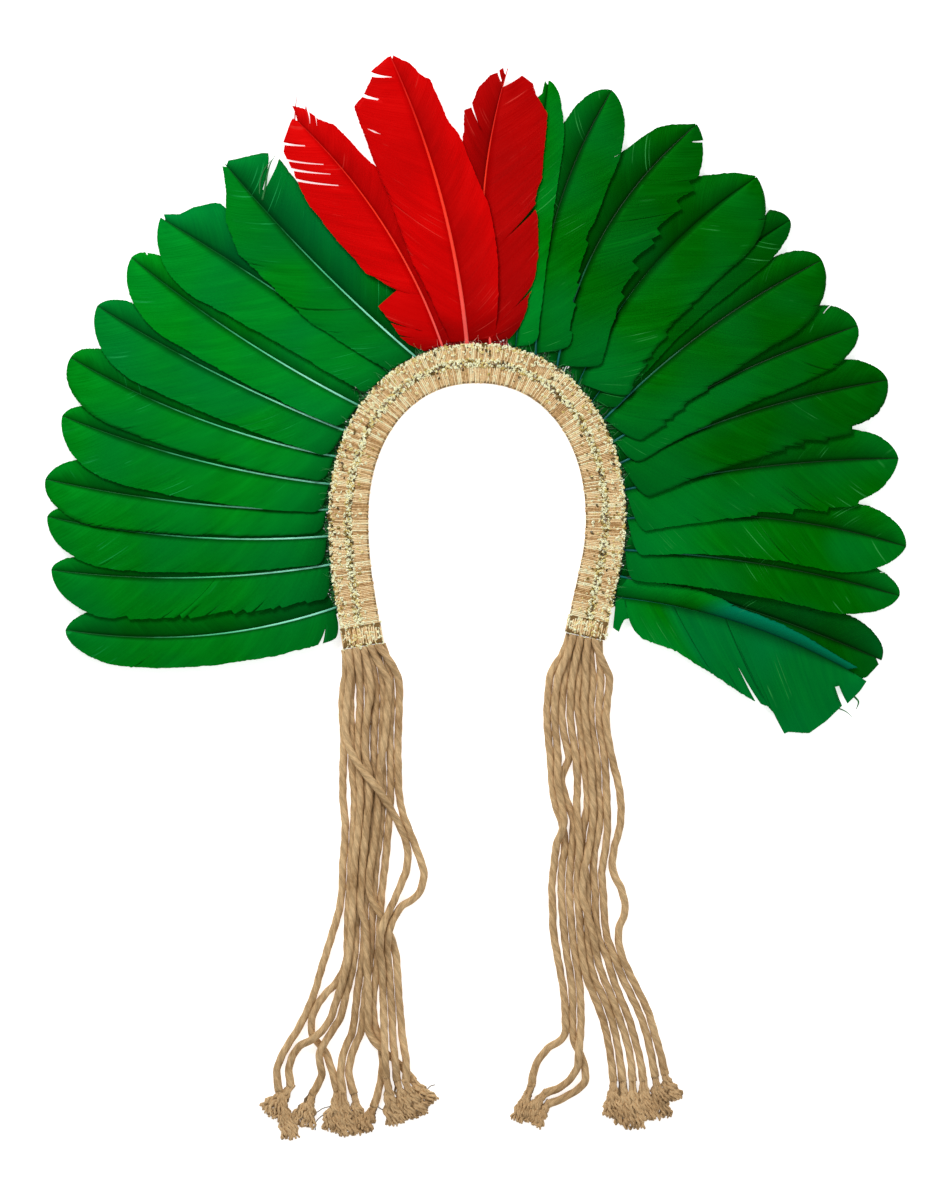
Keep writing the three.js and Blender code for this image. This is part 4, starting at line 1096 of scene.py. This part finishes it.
def outline(feather, which, ends, vane_length):
    """The vane's width in millimetres where each row of barbs ends."""
    if (feather["name"], which) in EDGES:
        return np.interp(ends, *zip(*EDGES[feather["name"], which]))
    spread = BASE_SPREAD["left" if "left" in feather["name"] else "right"]
    base_share = min(1.0, feather["base"] * spread)
    width = feather[which] * (1 - (1 - base_share) * (1 - ends))
    width *= round_off(vane_length * ends, BASE_ROUND)
    return width * round_off(vane_length * (1 - ends), ROUND[which])


def clumps(places, rng):
    """A saw-tooth from -1 to 0.2: each clump of barbs grows wider and ends in a step."""
    edges = np.cumsum(rng.uniform(4.0, 26.0, 60))
    index = np.searchsorted(edges, places)
    low = np.concatenate([[0.0], edges])[index]
    share = (places - low) / (edges[index] - low)
    height = rng.uniform(0.25, 1.0, 61)[index]
    return height * (1.2 * share ** 1.3 - 1.0)


def ragged_edge(key, ends, from_base, seed, rng):
    """How far each row of barbs stands out past the smooth edge, in millimetres."""
    clump, low, high = TORN.get(key, PLAIN_EDGE)
    ragged = rng.normal(0, 0.14, VANE_ROWS) + 0.4 * soft_noise(from_base, seed + 1, 0.12)
    torn = smoothstep(ends, low - 0.06, low) * (1 - smoothstep(ends, high, high + 0.06))
    return ragged + clump * torn * clumps(from_base, rng)


# %% A vane's splits
SPLIT_FADE = 9.0  # rows over which the barbs beside a split close up again


def open_split(split, ends, v, vane_length):
    """How far one split moves the rows along the shaft and up, and the quads it leaves out."""
    where, depth, reach, gap = split
    rows = np.arange(VANE_ROWS)
    k = min(int(np.searchsorted(ends, where)), VANE_ROWS - 2)
    first = max(1, math.ceil(depth * (VANE_COLUMNS - 1)))
    last = min(VANE_COLUMNS - 1, max(first + 1, round(reach * (VANE_COLUMNS - 1))))
    across = np.clip((v - v[first]) / (v[last] - v[first]), 0, 1)
    wide = across ** 1.2 if reach == 1.0 else np.sin(math.pi * across)
    closed = smoothstep(v, v[first] - 0.3, v[first])
    if reach < 1.0:
        closed = closed * (1 - smoothstep(v, v[last], v[last] + 0.15))
    row_gap = (ends[k + 1] - ends[k]) * vane_length
    apart = gap * wide - 0.9 * row_gap * closed
    before = np.exp(-np.clip(k - rows, 0, None) / SPLIT_FADE) * (rows <= k)
    after = np.exp(-np.clip(rows - k - 1, 0, None) / SPLIT_FADE) * (rows > k)
    shift = (after - before)[:, None] * apart / 2 / vane_length
    level = (before - 0.6 * after)[:, None] * 0.22 * wide
    return shift, level, {(k, c) for c in range(first, last)}


def open_splits(key, ends, v, vane_length, rng):
    """The large splits of a vane and a few small ones, opened together."""
    splits = list(SPLITS.get(key, []))
    for _ in range(rng.integers(2, 6)):
        splits.append((rng.uniform(0.12, 0.97), rng.uniform(0.72, 0.95), 1.0, rng.uniform(0.3, 0.9)))
    shifts, levels, left_out = zip(*(open_split(split, ends, v, vane_length) for split in splits))
    return sum(shifts), sum(levels), set().union(*left_out)


# %% One vane
BARB_REACH = 1.15
VANE_THICKNESS = 0.3
TILT_ROOT = 9.0
TILT_TIP = 4.0
CLEAR_ROUNDS = 12


def clear_of_band(point, way, across):
    """Plan points at distances from the shaft, which are cut down until they clear the braid."""
    plan = point + way * across[..., None]
    for _ in range(CLEAR_ROUNDS):
        tight = band_distance(plan.reshape(-1, 2)).reshape(across.shape) < BAND_CLEAR - 0.4
        if not tight.any():
            break
        across = np.where(tight, across * 0.86, across)
        plan = point + way * across[..., None]
    return plan, across


def vane(feather, which, seed):
    """Points, faces, uv and along of one vane, as an open sheet of rows that follow the barbs."""
    rng = np.random.default_rng(seed)
    key = (feather["name"], which)
    curve, length, base, side = shaft_line(feather)
    sign = 1.0 if which == "inn" else -1.0
    vane_length = length * (1 - base)
    furthest = max([1.0] + [share for share, _ in EDGES.get(key, [])])
    ends = furthest * (1 - (1 - np.linspace(0, 1, VANE_ROWS)) ** 1.35)
    from_base = vane_length * ends
    v = np.linspace(0, 1, VANE_COLUMNS)
    shift, level, missing = open_splits(key, ends, v, vane_length, rng)

    width = outline(feather, which, ends, vane_length)
    ragged = ragged_edge(key, ends, from_base, seed, rng)
    width = np.maximum(width + ragged * np.minimum(1, width / 6), 0.2)
    lean_base, lean_tip = LEAN.get(key, (BARB_REACH, BARB_REACH))
    lean = lean_base + (lean_tip - lean_base) * smoothstep(ends, 0.6, 1.0)
    reach = lean * width * (1 - np.exp(-from_base / 24.0)) / vane_length
    starts = np.clip(ends - reach, 0.06 * ends, 0.998)
    u = starts[:, None] + (ends - starts)[:, None] * v ** 1.12 + shift
    shares = base + (1 - base) * np.clip(u, 0.0, furthest)
    point, inward = on_shaft(curve, side, shares)
    across = width[:, None] * (1 - (1 - v) ** 1.22)
    plan, across = clear_of_band(point, sign * inward, across)

    tilt = np.radians(feather["roll"] * (TILT_ROOT + (TILT_TIP - TILT_ROOT) * shares))
    height = shaft_height(feather, base, shares) - sign * across * np.sin(tilt)
    camber = 0.75 * np.sin(math.pi * v ** 0.8) - 0.25 * v ** 2
    wave = 0.4 * soft_noise(from_base, seed + 2, 0.07) + 0.06 * soft_noise(from_base, seed + 3, 0.5)
    height += np.minimum(1, width / 12)[:, None] * (camber + wave[:, None] * v)
    height += level * np.clip((v - 0.15) / 0.85, 0, 1) ** 1.4
    points = np.dstack([plan, height]).reshape(-1, 3)
    faces = []
    for k in range(VANE_ROWS - 1):
        for c in range(VANE_COLUMNS - 1):
            a, b = k * VANE_COLUMNS + c, (k + 1) * VANE_COLUMNS + c
            if (k, c) not in missing:
                faces.append((a, a + 1, b + 1, b))
    uv = np.stack([np.repeat(from_base, VANE_COLUMNS) + seed % 50, np.tile(v, VANE_ROWS)], axis=1)
    return points, faces, uv, np.repeat(ends, VANE_COLUMNS)


print("a feather's vane has", VANE_ROWS, "rows of", VANE_COLUMNS, "points")

# %% One shaft
SHAFT_RINGS = 60
SHAFT_SIDES = 8
SHAFT_ROOT = 0.72
SHAFT_TIP = 0.22
SHAFT_HIGHEST = 0.75


def make_shaft(feather, material):
    """A tapering tube with a slightly flat back."""
    curve, _, base, side = shaft_line(feather)
    shares = np.linspace(0, 1, SHAFT_RINGS)
    point, inward = on_shaft(curve, side, shares)
    radius = SHAFT_TIP + (SHAFT_ROOT - SHAFT_TIP) * (1 - shares) ** 0.9
    radius = (radius * SHAFT_SIZE.get(feather["name"], 1.0))[:, None]
    height = shaft_height(feather, base, shares) + 0.15 * radius[:, 0]
    rings = rings_round(np.column_stack([point, height]), np.pad(inward, ((0, 0), (0, 1))), UP[None],
                        radius, np.minimum(radius, SHAFT_HIGHEST) * 0.85, round_angles(SHAFT_SIDES))
    return make_piece(feather["name"] + "_shaft", rings.reshape(-1, 3),
                      tube_faces(SHAFT_RINGS, SHAFT_SIDES), material,
                      along=np.repeat(shares, SHAFT_SIDES))


# %% Put the feathers together
def face_up(piece):
    """Turn a nearly flat open sheet's faces upwards."""
    normals = np.zeros(3 * len(piece.data.polygons), np.float32)
    piece.data.polygons.foreach_get("normal", normals)
    if normals.reshape(-1, 3)[:, 2].sum() < 0:
        piece.data.flip_normals()


def make_feather(feather, number):
    name = feather["name"]
    dye = "red" if name.startswith("red") else "green"
    barbs, horn = (LEFT_GREEN, LEFT_SHAFT) if "left" in name else (RIGHT_GREEN, RIGHT_SHAFT)
    if dye == "red":
        barbs, horn = RED, RED_SHAFT
    points, faces, uv, along = vane(feather, "out", 100 * number + 7)
    inner_points, inner_faces, inner_uv, inner_along = vane(feather, "inn", 100 * number + 57)
    count = len(points)
    faces += [tuple(i + count for i in reversed(face)) for face in inner_faces]
    along = np.concatenate([along, inner_along])
    # the inner attribute carries the painted shade of the folded inner vane
    blue = np.repeat(BLUE_SHEEN.get(name, (0.0, 0.0)), count)
    # the teal attribute carries the painted blue sheen
    piece = make_piece(name + "_vane", np.vstack([points, inner_points]), faces, barbs,
                       uv=np.vstack([uv, inner_uv]), along=along,
                       inner=np.repeat([0.0, RED_FOLD_SHADE if dye == "red" else 1.0], count),
                       teal=blue * smoothstep(along, 0.38, 0.5), tone=np.full(2 * count, feather["tone"]))
    face_up(piece)
    solid = piece.modifiers.new("thickness", "SOLIDIFY")
    solid.thickness = VANE_THICKNESS * MM
    solid.offset = 0.0
    declare(finished(piece), name)
    return piece, declare(make_shaft(feather, horn))


feather_pieces = [make_feather(feather, number) for number, feather in enumerate(FEATHERS)]
print(len(feather_pieces), "feathers,", sum(triangles(*pair) for pair in feather_pieces), "triangles")

# %% [markdown]
# ## Braid and metallic thread
# Furnishing braid is a ribbed tape: fine cords lie side by side across it, and a thread of
# metallic foil loops along its edges. Both repeat along the band's line, which is work for
# Geometry Nodes. One tree lays a short bent cord across the path at every step. Another
# scatters small wire loops along a path, each turned its own way, so that some catch the light.

# %% Geometry Nodes helpers
def new_tree(name, sizes):
    """A geometry tree with a geometry input and output, a material and named number inputs."""
    tree = bpy.data.node_groups.new(name, "GeometryNodeTree")
    tree.interface.new_socket(name="Geometry", in_out="OUTPUT", socket_type="NodeSocketGeometry")
    tree.interface.new_socket(name="Geometry", in_out="INPUT", socket_type="NodeSocketGeometry")
    tree.interface.new_socket(name="Material", in_out="INPUT", socket_type="NodeSocketMaterial")
    for size in sizes:
        kind = "NodeSocketInt" if size == "Seed" else "NodeSocketFloat"
        tree.interface.new_socket(name=size, in_out="INPUT", socket_type=kind)
    entry = tree.nodes.new("NodeGroupInput")
    leave = tree.nodes.new("NodeGroupOutput")
    return tree, entry.outputs, leave.inputs["Geometry"]


def grow(name, path, tree, material, sizes):
    """Run a tree on a path, a polyline in millimetres, and bake the result into a mesh piece."""
    mesh = bpy.data.meshes.new(name)
    edges = [(i, i + 1) for i in range(len(path) - 1)]
    mesh.from_pydata((np.asarray(path) * MM).tolist(), edges, [])
    piece = bpy.data.objects.new(name, mesh)
    scene.collection.objects.link(piece)
    modifier = piece.modifiers.new(tree.name, "NODES")
    modifier.node_group = tree
    identifiers = {item.name: item.identifier for item in tree.interface.items_tree
                   if item.item_type == "SOCKET" and item.in_out == "INPUT"}
    modifier[identifiers["Material"]] = material
    for key, value in sizes.items():
        modifier[identifiers[key]] = value
    finished(piece)
    print(name, triangles(piece), "triangles")
    return piece


def random_float(tree, low, high, seed):
    made = node(tree, "FunctionNodeRandomValue", {"Seed": seed}, data_type="FLOAT")
    for key, value in (("Min", low), ("Max", high)):
        connect(tree, [s for s in made.inputs if s.name == key and s.enabled][0], value)
    return [s for s in made.outputs if s.enabled][0]


def turned_again(tree, rotation, **angles):
    """A rotation, and then small turns about its own axes."""
    twist = node(tree, "FunctionNodeEulerToRotation", {"Euler": vector(tree, **angles)})
    both = node(tree, "FunctionNodeRotateRotation", {
        "Rotation": rotation, "Rotate By": twist.outputs["Rotation"]}, rotation_space="LOCAL")
    return both.outputs["Rotation"]


def swept(tree, line, sides, radius, caps=False):
    """A line as a tube."""
    section = node(tree, "GeometryNodeCurvePrimitiveCircle", {"Resolution": sides, "Radius": radius})
    return node(tree, "GeometryNodeCurveToMesh", {
        "Curve": line, "Profile Curve": section.outputs["Curve"], "Fill Caps": caps}).outputs["Mesh"]


def points_along(tree, geometry, spacing):
    """Points every spacing along the path, and the rotation that turns +Y to its direction."""
    curve = node(tree, "GeometryNodeMeshToCurve", {"Mesh": geometry})
    points = node(tree, "GeometryNodeCurveToPoints",
                  {"Curve": curve.outputs["Curve"], "Length": spacing}, mode="LENGTH")
    turned = node(tree, "FunctionNodeAlignRotationToVector",
                  {"Vector": points.outputs["Tangent"]}, axis="Y", pivot_axis="Z")
    return points.outputs["Points"], turned.outputs["Rotation"]


def place_copies(tree, points, copy, rotation, scale, material, leave, smooth=True):
    """Instance, give each copy its own tone, realize, set the shading and the material."""
    placed = node(tree, "GeometryNodeInstanceOnPoints",
                  {"Points": points, "Instance": copy, "Rotation": rotation, "Scale": scale})
    toned = node(tree, "GeometryNodeStoreNamedAttribute",
                 {"Geometry": placed.outputs["Instances"], "Name": "tone"},
                 data_type="FLOAT", domain="INSTANCE")
    value = [s for s in toned.inputs if s.name == "Value" and s.enabled][0]
    tree.links.new(random_float(tree, 0.0, 1.0, 5), value)
    real = node(tree, "GeometryNodeRealizeInstances", {"Geometry": toned.outputs["Geometry"]})
    shaded = node(tree, "GeometryNodeSetShadeSmooth",
                  {"Geometry": real.outputs["Geometry"], "Shade Smooth": smooth})
    done = node(tree, "GeometryNodeSetMaterial",
                {"Geometry": shaded.outputs["Geometry"], "Material": material})
    tree.links.new(done.outputs["Geometry"], leave)


# %% Tree one: ribs across a path
def rib_tree():
    """Short cords across the path: each is a line of the row's width, bowed up in its middle."""
    tree, given, leave = new_tree("ribs_across_path",
                                  ["Spacing", "Width", "Crown", "Thread", "Wander", "Seed"])
    points, turned = points_along(tree, given["Geometry"], given["Spacing"])
    half = maths(tree, "MULTIPLY", given["Width"], 0.5)
    line = node(tree, "GeometryNodeCurvePrimitiveLine", {
        "Start": vector(tree, X=maths(tree, "MULTIPLY", half, -1.0)), "End": vector(tree, X=half)})
    fine = node(tree, "GeometryNodeResampleCurve", {"Curve": line.outputs["Curve"], "Count": 8})
    place = node(tree, "GeometryNodeInputPosition").outputs["Position"]
    x = node(tree, "ShaderNodeSeparateXYZ", {"Vector": place}).outputs["X"]
    share = maths(tree, "ABSOLUTE", maths(tree, "DIVIDE", x, half))
    drop = maths(tree, "MULTIPLY", maths(tree, "POWER", share, 3.0), given["Crown"])
    bowed = node(tree, "GeometryNodeSetPosition", {
        "Geometry": fine.outputs["Curve"], "Offset": vector(tree, Z=maths(tree, "MULTIPLY", drop, -1.0))})
    rib = swept(tree, bowed.outputs["Geometry"], 6, given["Thread"], caps=True)
    wander = maths(tree, "MULTIPLY", given["Wander"], random_float(tree, -1.0, 1.0, given["Seed"]))
    scale = vector(tree, X=random_float(tree, 0.88, 1.06, given["Seed"]), Y=1.0, Z=1.0)
    place_copies(tree, points, rib, turned_again(tree, turned, Z=wander), scale,
                 given["Material"], leave)
    return tree


# %% Tree two: wire loops scattered along a path
def loop_tree():
    """Small flattened wire loops, each moved a little off the path and turned at random."""
    tree, given, leave = new_tree("loops_along_path",
                                  ["Spacing", "Loop", "Wire", "Scatter", "Lean", "Seed"])
    points, turned = points_along(tree, given["Geometry"], given["Spacing"])

    def chance(low, high, step, size=None):
        """A number by chance for each loop, times a size where one is given."""
        made = random_float(tree, low, high, maths(tree, "ADD", given["Seed"], float(step)))
        return made if size is None else maths(tree, "MULTIPLY", given[size], made)

    offset = vector(tree, X=chance(-1.0, 1.0, 0, "Scatter"), Y=chance(-1.0, 1.0, 1, "Scatter"),
                    Z=chance(-0.3, 0.3, 2, "Scatter"))
    moved = node(tree, "GeometryNodeSetPosition", {"Geometry": points, "Offset": offset})
    ring = node(tree, "GeometryNodeCurvePrimitiveCircle", {"Resolution": 6, "Radius": given["Loop"]})
    flat = node(tree, "GeometryNodeTransform",
                {"Geometry": ring.outputs["Curve"], "Scale": (1.0, 0.55, 1.0)})
    wire = swept(tree, flat.outputs["Geometry"], 3, given["Wire"])
    spun = turned_again(tree, turned, X=chance(-1.0, 1.0, 3, "Lean"), Y=chance(-1.0, 1.0, 4, "Lean"),
                        Z=chance(-1.2, 1.2, 6))
    place_copies(tree, moved.outputs["Geometry"], wire, spun, chance(0.6, 1.25, 7),
                 given["Material"], leave, smooth=False)
    return tree


RIBS = rib_tree()
LOOPS = loop_tree()
print("geometry trees:", RIBS.name, "and", LOOPS.name)

# %% Braid materials
def thread_material(name, stops, roughness, fineness, contrast=0.6):
    """Spun thread, coloured by each copy's tone, with fine fibres across it as bump."""
    material, tree, shader, place = new_material(name, roughness)
    fibre = noise(tree, place, fineness, 3.0)
    value = maths(tree, "MULTIPLY_ADD", maths(tree, "SUBTRACT", fibre, 0.5), contrast,
                  attribute(tree, "tone"))
    colours = [(share, linear(*colour)) for share, colour in stops]
    dress(tree, shader, ramp(tree, value, colours), fibre, 0.4, 0.2)
    return material


BRAID_THREAD = thread_material("braid_thread", [
    (0.0, (190, 146, 88)), (0.3, (232, 194, 138)), (0.7, (250, 222, 170)), (1.0, (255, 248, 206))],
    0.45, 900.0, 1.4)
# the near-white end of the ramp is a painted glint on the foil; the rest is its gold
METAL_THREAD = thread_material("metal_thread", [
    (0.0, (58, 44, 6)), (0.14, (150, 120, 40)), (0.26, (246, 222, 130)), (0.5, (255, 255, 214))],
    0.3, 1800.0)
# the tape's brown, seen in the gaps between the ribs, is partly painted shade
BRAID_BASE = thread_material("braid_base", [(0.0, (120, 90, 40)), (0.5, (176, 140, 84))], 0.8, 1500.0)
BAND_CLOTH = thread_material("band_cloth", [(0.0, (204, 188, 168)), (0.5, (230, 216, 198))], 0.9, 1200.0)
print("thread materials: braid, metal, base and cloth")

# %% [markdown]
# ## The band
# Under the braid is a padded strip of cloth. It is the one piece that shows from below and, as a
# thin pale edge, on the inside of the arch. On it lie two tapes, each a soft-edged strip with
# its ribs on top. A short tape wrapped round each end hides where the cords go in.

# %% Strips along the band
HALF = BAND_WIDTH / 2
CORE_TOP = 6.5
TAPE_LEVELS = (6.0, 7.6)
RIB_LEVEL = 7.9
STRIP_STEPS = 180
PATH_POINTS = 300
BAND_START = LEGS["left"]["wrap"] + GAP
BAND_END = BAND_LENGTH - LEGS["right"]["wrap"] - GAP


def band_path(offset, level):
    """A path along the braid, offset outwards from the centreline, at one height."""
    point, _, outward = band_frame(np.linspace(BAND_START, BAND_END, PATH_POINTS))
    return np.column_stack([point + offset * outward, np.full(PATH_POINTS, level)])


def rounded_section(inner, outer, bottom, top, radius, corner_points=4):
    """A rectangle with round corners, as (outward, up) points."""
    section = []
    for x, y, turn in ((outer - radius, top - radius, 0), (inner + radius, top - radius, 90),
                       (inner + radius, bottom + radius, 180), (outer - radius, bottom + radius, 270)):
        for angle in np.radians(turn + np.linspace(0, 90, corner_points)):
            section.append((x + radius * math.cos(angle), y + radius * math.sin(angle)))
    return np.array(section)


def strip(name, section, start, end, steps, material):
    """A closed strip swept along the band from a section of (outward, up) points."""
    point, _, outward = band_frame(np.linspace(start, end, steps))
    plan = point[:, None] + outward[:, None] * section[:, :1]
    points = np.dstack([plan, np.broadcast_to(section[:, 1], plan.shape[:2])])
    return closed_piece(name, points.reshape(-1, 3), tube_faces(steps, len(section)), material)


core_section = rounded_section(-HALF + 0.2, HALF - 0.4, 0.0, CORE_TOP, 1.6)
core = strip("band_core_cloth", core_section, BAND_START - 2, BAND_END + 2, STRIP_STEPS, BAND_CLOTH)
declare(core, "band_core")
for name, inner, outer in (("outer", 0.2, HALF), ("inner", -HALF, -0.2)):
    section = rounded_section(inner + 0.4, outer - 0.4, *TAPE_LEVELS, 0.6)
    tape = strip(f"braid_{name}_tape", section, BAND_START, BAND_END, STRIP_STEPS, BRAID_BASE)
    declare(tape, f"braid_{name}")
    ribs = grow(f"braid_{name}_ribs", band_path((inner + outer) / 2, RIB_LEVEL), RIBS, BRAID_THREAD,
                {"Spacing": 1.0 * MM, "Width": (outer - inner - 0.4) * MM, "Crown": 0.9 * MM,
                 "Thread": 0.46 * MM, "Wander": 0.03, "Seed": 3})
    declare(ribs)
print("band core, two tapes and their ribs")

# %% Metallic edges
# Each row of loops: name, offset from the band's middle, height, spacing, scatter.
LOOP_ROWS = [
    ("outer_edge", HALF - 0.9, 7.9, 0.62, 0.9),
    ("outer_row", HALF - 4.4, 8.5, 0.9, 2.6),
    ("seam_outer", 1.4, 8.4, 0.5, 1.4),
    ("seam_inner", -1.0, 8.4, 0.7, 1.2),
    ("inner_row", -HALF + 6.6, 8.4, 2.6, 2.4),
]


def metal_loops(name, path, spacing, scatter, seed):
    sizes = {"Loop": 0.78 * MM, "Wire": 0.36 * MM, "Lean": 0.7, "Spacing": spacing * MM,
             "Scatter": scatter * MM, "Seed": seed}
    return declare(grow(name, path, LOOPS, METAL_THREAD, sizes))


for number, (name, offset, level, spacing, scatter) in enumerate(LOOP_ROWS):
    metal_loops(f"metal_thread_{name}", band_path(offset, level), spacing, scatter, 11 + 9 * number)

# %% End wraps
WRAP_HALF = 12.5
WRAP_TOP = 8.1
WRAP_FALL = 1.4
WRAP_LOOP_LEVELS = (7.9, 8.4, 8.4, 7.9)


def across_path(place, level):
    """A path across the band, falling away at both sides."""
    point, _, outward = band_frame(place)
    across = np.linspace(-WRAP_HALF + 0.8, WRAP_HALF - 0.8, 30)
    fall = WRAP_FALL * np.abs(across / WRAP_HALF) ** 5
    return np.column_stack([point + across[:, None] * outward, level - fall])


def end_wrap(side, start, end):
    """A tape wound once across the band's end, with its own ribs and metallic loops."""
    section = rounded_section(-WRAP_HALF + 0.2, WRAP_HALF - 0.2, 0.0, WRAP_TOP, 2.2, 6)
    body = strip(f"end_wrap_{side}_tape", section, start + 0.2, end - 0.2, 8, BRAID_BASE)
    declare(body, f"end_wrap_{side}")
    ribs = grow(f"end_wrap_{side}_ribs", across_path((start + end) / 2, WRAP_TOP), RIBS, BRAID_THREAD,
                {"Spacing": 1.35 * MM, "Width": (end - start - 0.6) * MM, "Crown": 0.8 * MM,
                 "Thread": 0.64 * MM, "Wander": 0.09, "Seed": 21})
    declare(ribs)
    places = np.linspace(start + 0.9, end - 0.9, len(WRAP_LOOP_LEVELS))
    for number, (place, level) in enumerate(zip(places, WRAP_LOOP_LEVELS)):
        metal_loops(f"end_wrap_{side}_metal_{number + 1}", across_path(place, level), 0.8, 1.4,
                    51 + 5 * number)


end_wrap("left", 0.0, LEGS["left"]["wrap"])
end_wrap("right", BAND_LENGTH - LEGS["right"]["wrap"], BAND_LENGTH)
print("end wraps: left and right")

# %% [markdown]
# ## Down
# The lowest barbs of a quill have no hooks, so they curl loose as down. It fills the gaps
# between the quills along the braid's outer edge, and a few fine hairs stand up over the braid.
# Each barb is a thin flat strand that starts under the braid and leans the way its quill does.

# %% Down
DOWN_PER_MM = 3.2
DOWN_RINGS = 7
DOWN_SIDES = 4
DOWN_START = 10.8  # outwards from the centreline
HAIR_SHARE = 0.06
RED_REACH = (-25.0, 17.0)


def quill_directions():
    """Where each quill leaves the band, and its plan direction there."""
    directions = []
    for feather in FEATHERS:
        curve, _, base, _ = shaft_line(feather)
        directions.append(unit(curve[int(base * LINE_STEPS) + 8] - curve[0]))
    return np.array([feather["at"] for feather in FEATHERS]), np.array(directions)


def down_strand(place, lean, rng, hair):
    """Ring points of one strand, a flattened diamond section along a curling line."""
    point, _, outward = (made[0] for made in band_frame(CROWN_DISTANCE + place))
    angle = rng.normal(0, 0.45)
    turn = np.array([[math.cos(angle), -math.sin(angle)], [math.sin(angle), math.cos(angle)]])
    direction = turn @ unit(0.4 * outward + 0.6 * lean)
    sideways = np.array([-direction[1], direction[0], 0.0])
    length = rng.uniform(3, 9) if hair else rng.uniform(6, 17)
    t = np.linspace(0, 1, DOWN_RINGS)
    bend = rng.normal(0, 0.22) * length * t ** 2 + 0.4 * np.sin(t * 7 + rng.uniform(0, 6)) * t
    plan = point + outward * DOWN_START + np.outer(t * length + 0.4, direction)
    plan += np.outer(bend, sideways[:2])
    low, high = (7.2, 9.6) if hair else (rng.uniform(3.4, 5.8), rng.uniform(2.6, 5.4))
    half = (0.13 if hair else 0.55) * (1 - 0.75 * t ** 1.5)[:, None]
    line = np.column_stack([plan, low + (high - low) * t])
    return rings_round(line, sideways[None], UP[None], half, 0.12, round_angles(DOWN_SIDES))


def make_down(dye, material, seed):
    rng = np.random.default_rng(seed)
    places, directions = quill_directions()
    rings, tones = [], []
    for place in np.arange(places.min() - 5, places.max() + 4, 1 / DOWN_PER_MM):
        place += rng.uniform(-0.3, 0.3)
        if (RED_REACH[0] < place < RED_REACH[1]) != (dye == "red"):
            continue
        lean = directions[np.abs(places - place).argmin()]
        hair = rng.random() < HAIR_SHARE
        rings.append(down_strand(place, lean, rng, hair).reshape(-1, 3))
        tones.append(1.0 if hair else rng.uniform(0.0, 0.7))
    faces = tube_faces(DOWN_RINGS, DOWN_SIDES, len(rings))
    piece = closed_piece(f"down_{dye}", np.vstack(rings), faces, material,
                         tone=np.repeat(tones, DOWN_RINGS * DOWN_SIDES))
    return declare(piece)


# %% Single barbs
# Barbs that stand away from a vane: their dye, thickness, and route in millimetres.
LOOSE_BARBS = [
    ("red", 0.45, [(-109.4, 143, 6.4), (-109, 152, 6.6), (-108, 161, 6.8)]),
    ("red", 1.5, [(-106.4, 140, 6.4), (-106.6, 148, 6.6), (-106.8, 154, 6.6)]),
    ("red", 1.3, [(-101, 140, 6.4), (-102.4, 148, 6.6), (-102.6, 154.4, 6.6)]),
    ("green", 0.7, [(-129, 98, 5.6), (-127, 106, 5.8), (-126, 113, 5.8), (-124, 120, 5.6),
                    (-121, 125, 5.4)]),
    ("green", 0.5, [(-130.6, 101, 5.4), (-130, 110, 5.6), (-127.4, 117, 5.6), (-123.4, 122, 5.4)]),
    ("green", 0.4, [(214, -206, 4.0), (221, -208.6, 4.2), (226.4, -213, 4.0)]),
    ("green", 0.6, [(226.6, -200, 4.6), (229, -203, 4.8), (227.6, -207.6, 4.4)]),
]
BARB_STEPS = 16
BARB_SIDES = 6


def loose_barbs(dye, material):
    rings = []
    for radius, route in (row[1:] for row in LOOSE_BARBS if row[0] == dye):
        line = spaced(smooth_line(route), BARB_STEPS - 1)
        right, _ = square_to(line)
        taper = radius * (1 - 0.8 * np.linspace(0, 1, BARB_STEPS) ** 2)[:, None]
        rings.append(rings_round(line, -right, UP[None], taper, 0.35 * taper, round_angles(BARB_SIDES)))
    points = np.vstack(rings).reshape(-1, 3)
    piece = closed_piece(f"loose_barbs_{dye}", points, tube_faces(BARB_STEPS, BARB_SIDES, len(rings)),
                         material, tone=np.full(len(points), 0.6))
    return declare(piece)


GREEN_DOWN = thread_material("green_down", [
    (0.0, (0, 52, 8)), (0.6, (0, 108, 34)), (1.0, (70, 160, 90))], 0.6, 900.0)
RED_DOWN = thread_material("red_down", [
    (0.0, (120, 0, 0)), (0.6, (196, 4, 4)), (1.0, (240, 170, 150))], 0.6, 900.0)
down = [make_down("green", GREEN_DOWN, 301), make_down("red", RED_DOWN, 302)]
barbs = [loose_barbs("green", GREEN_DOWN), loose_barbs("red", RED_DOWN)]
print("down:", triangles(*down), "triangles; single barbs:", triangles(*barbs))
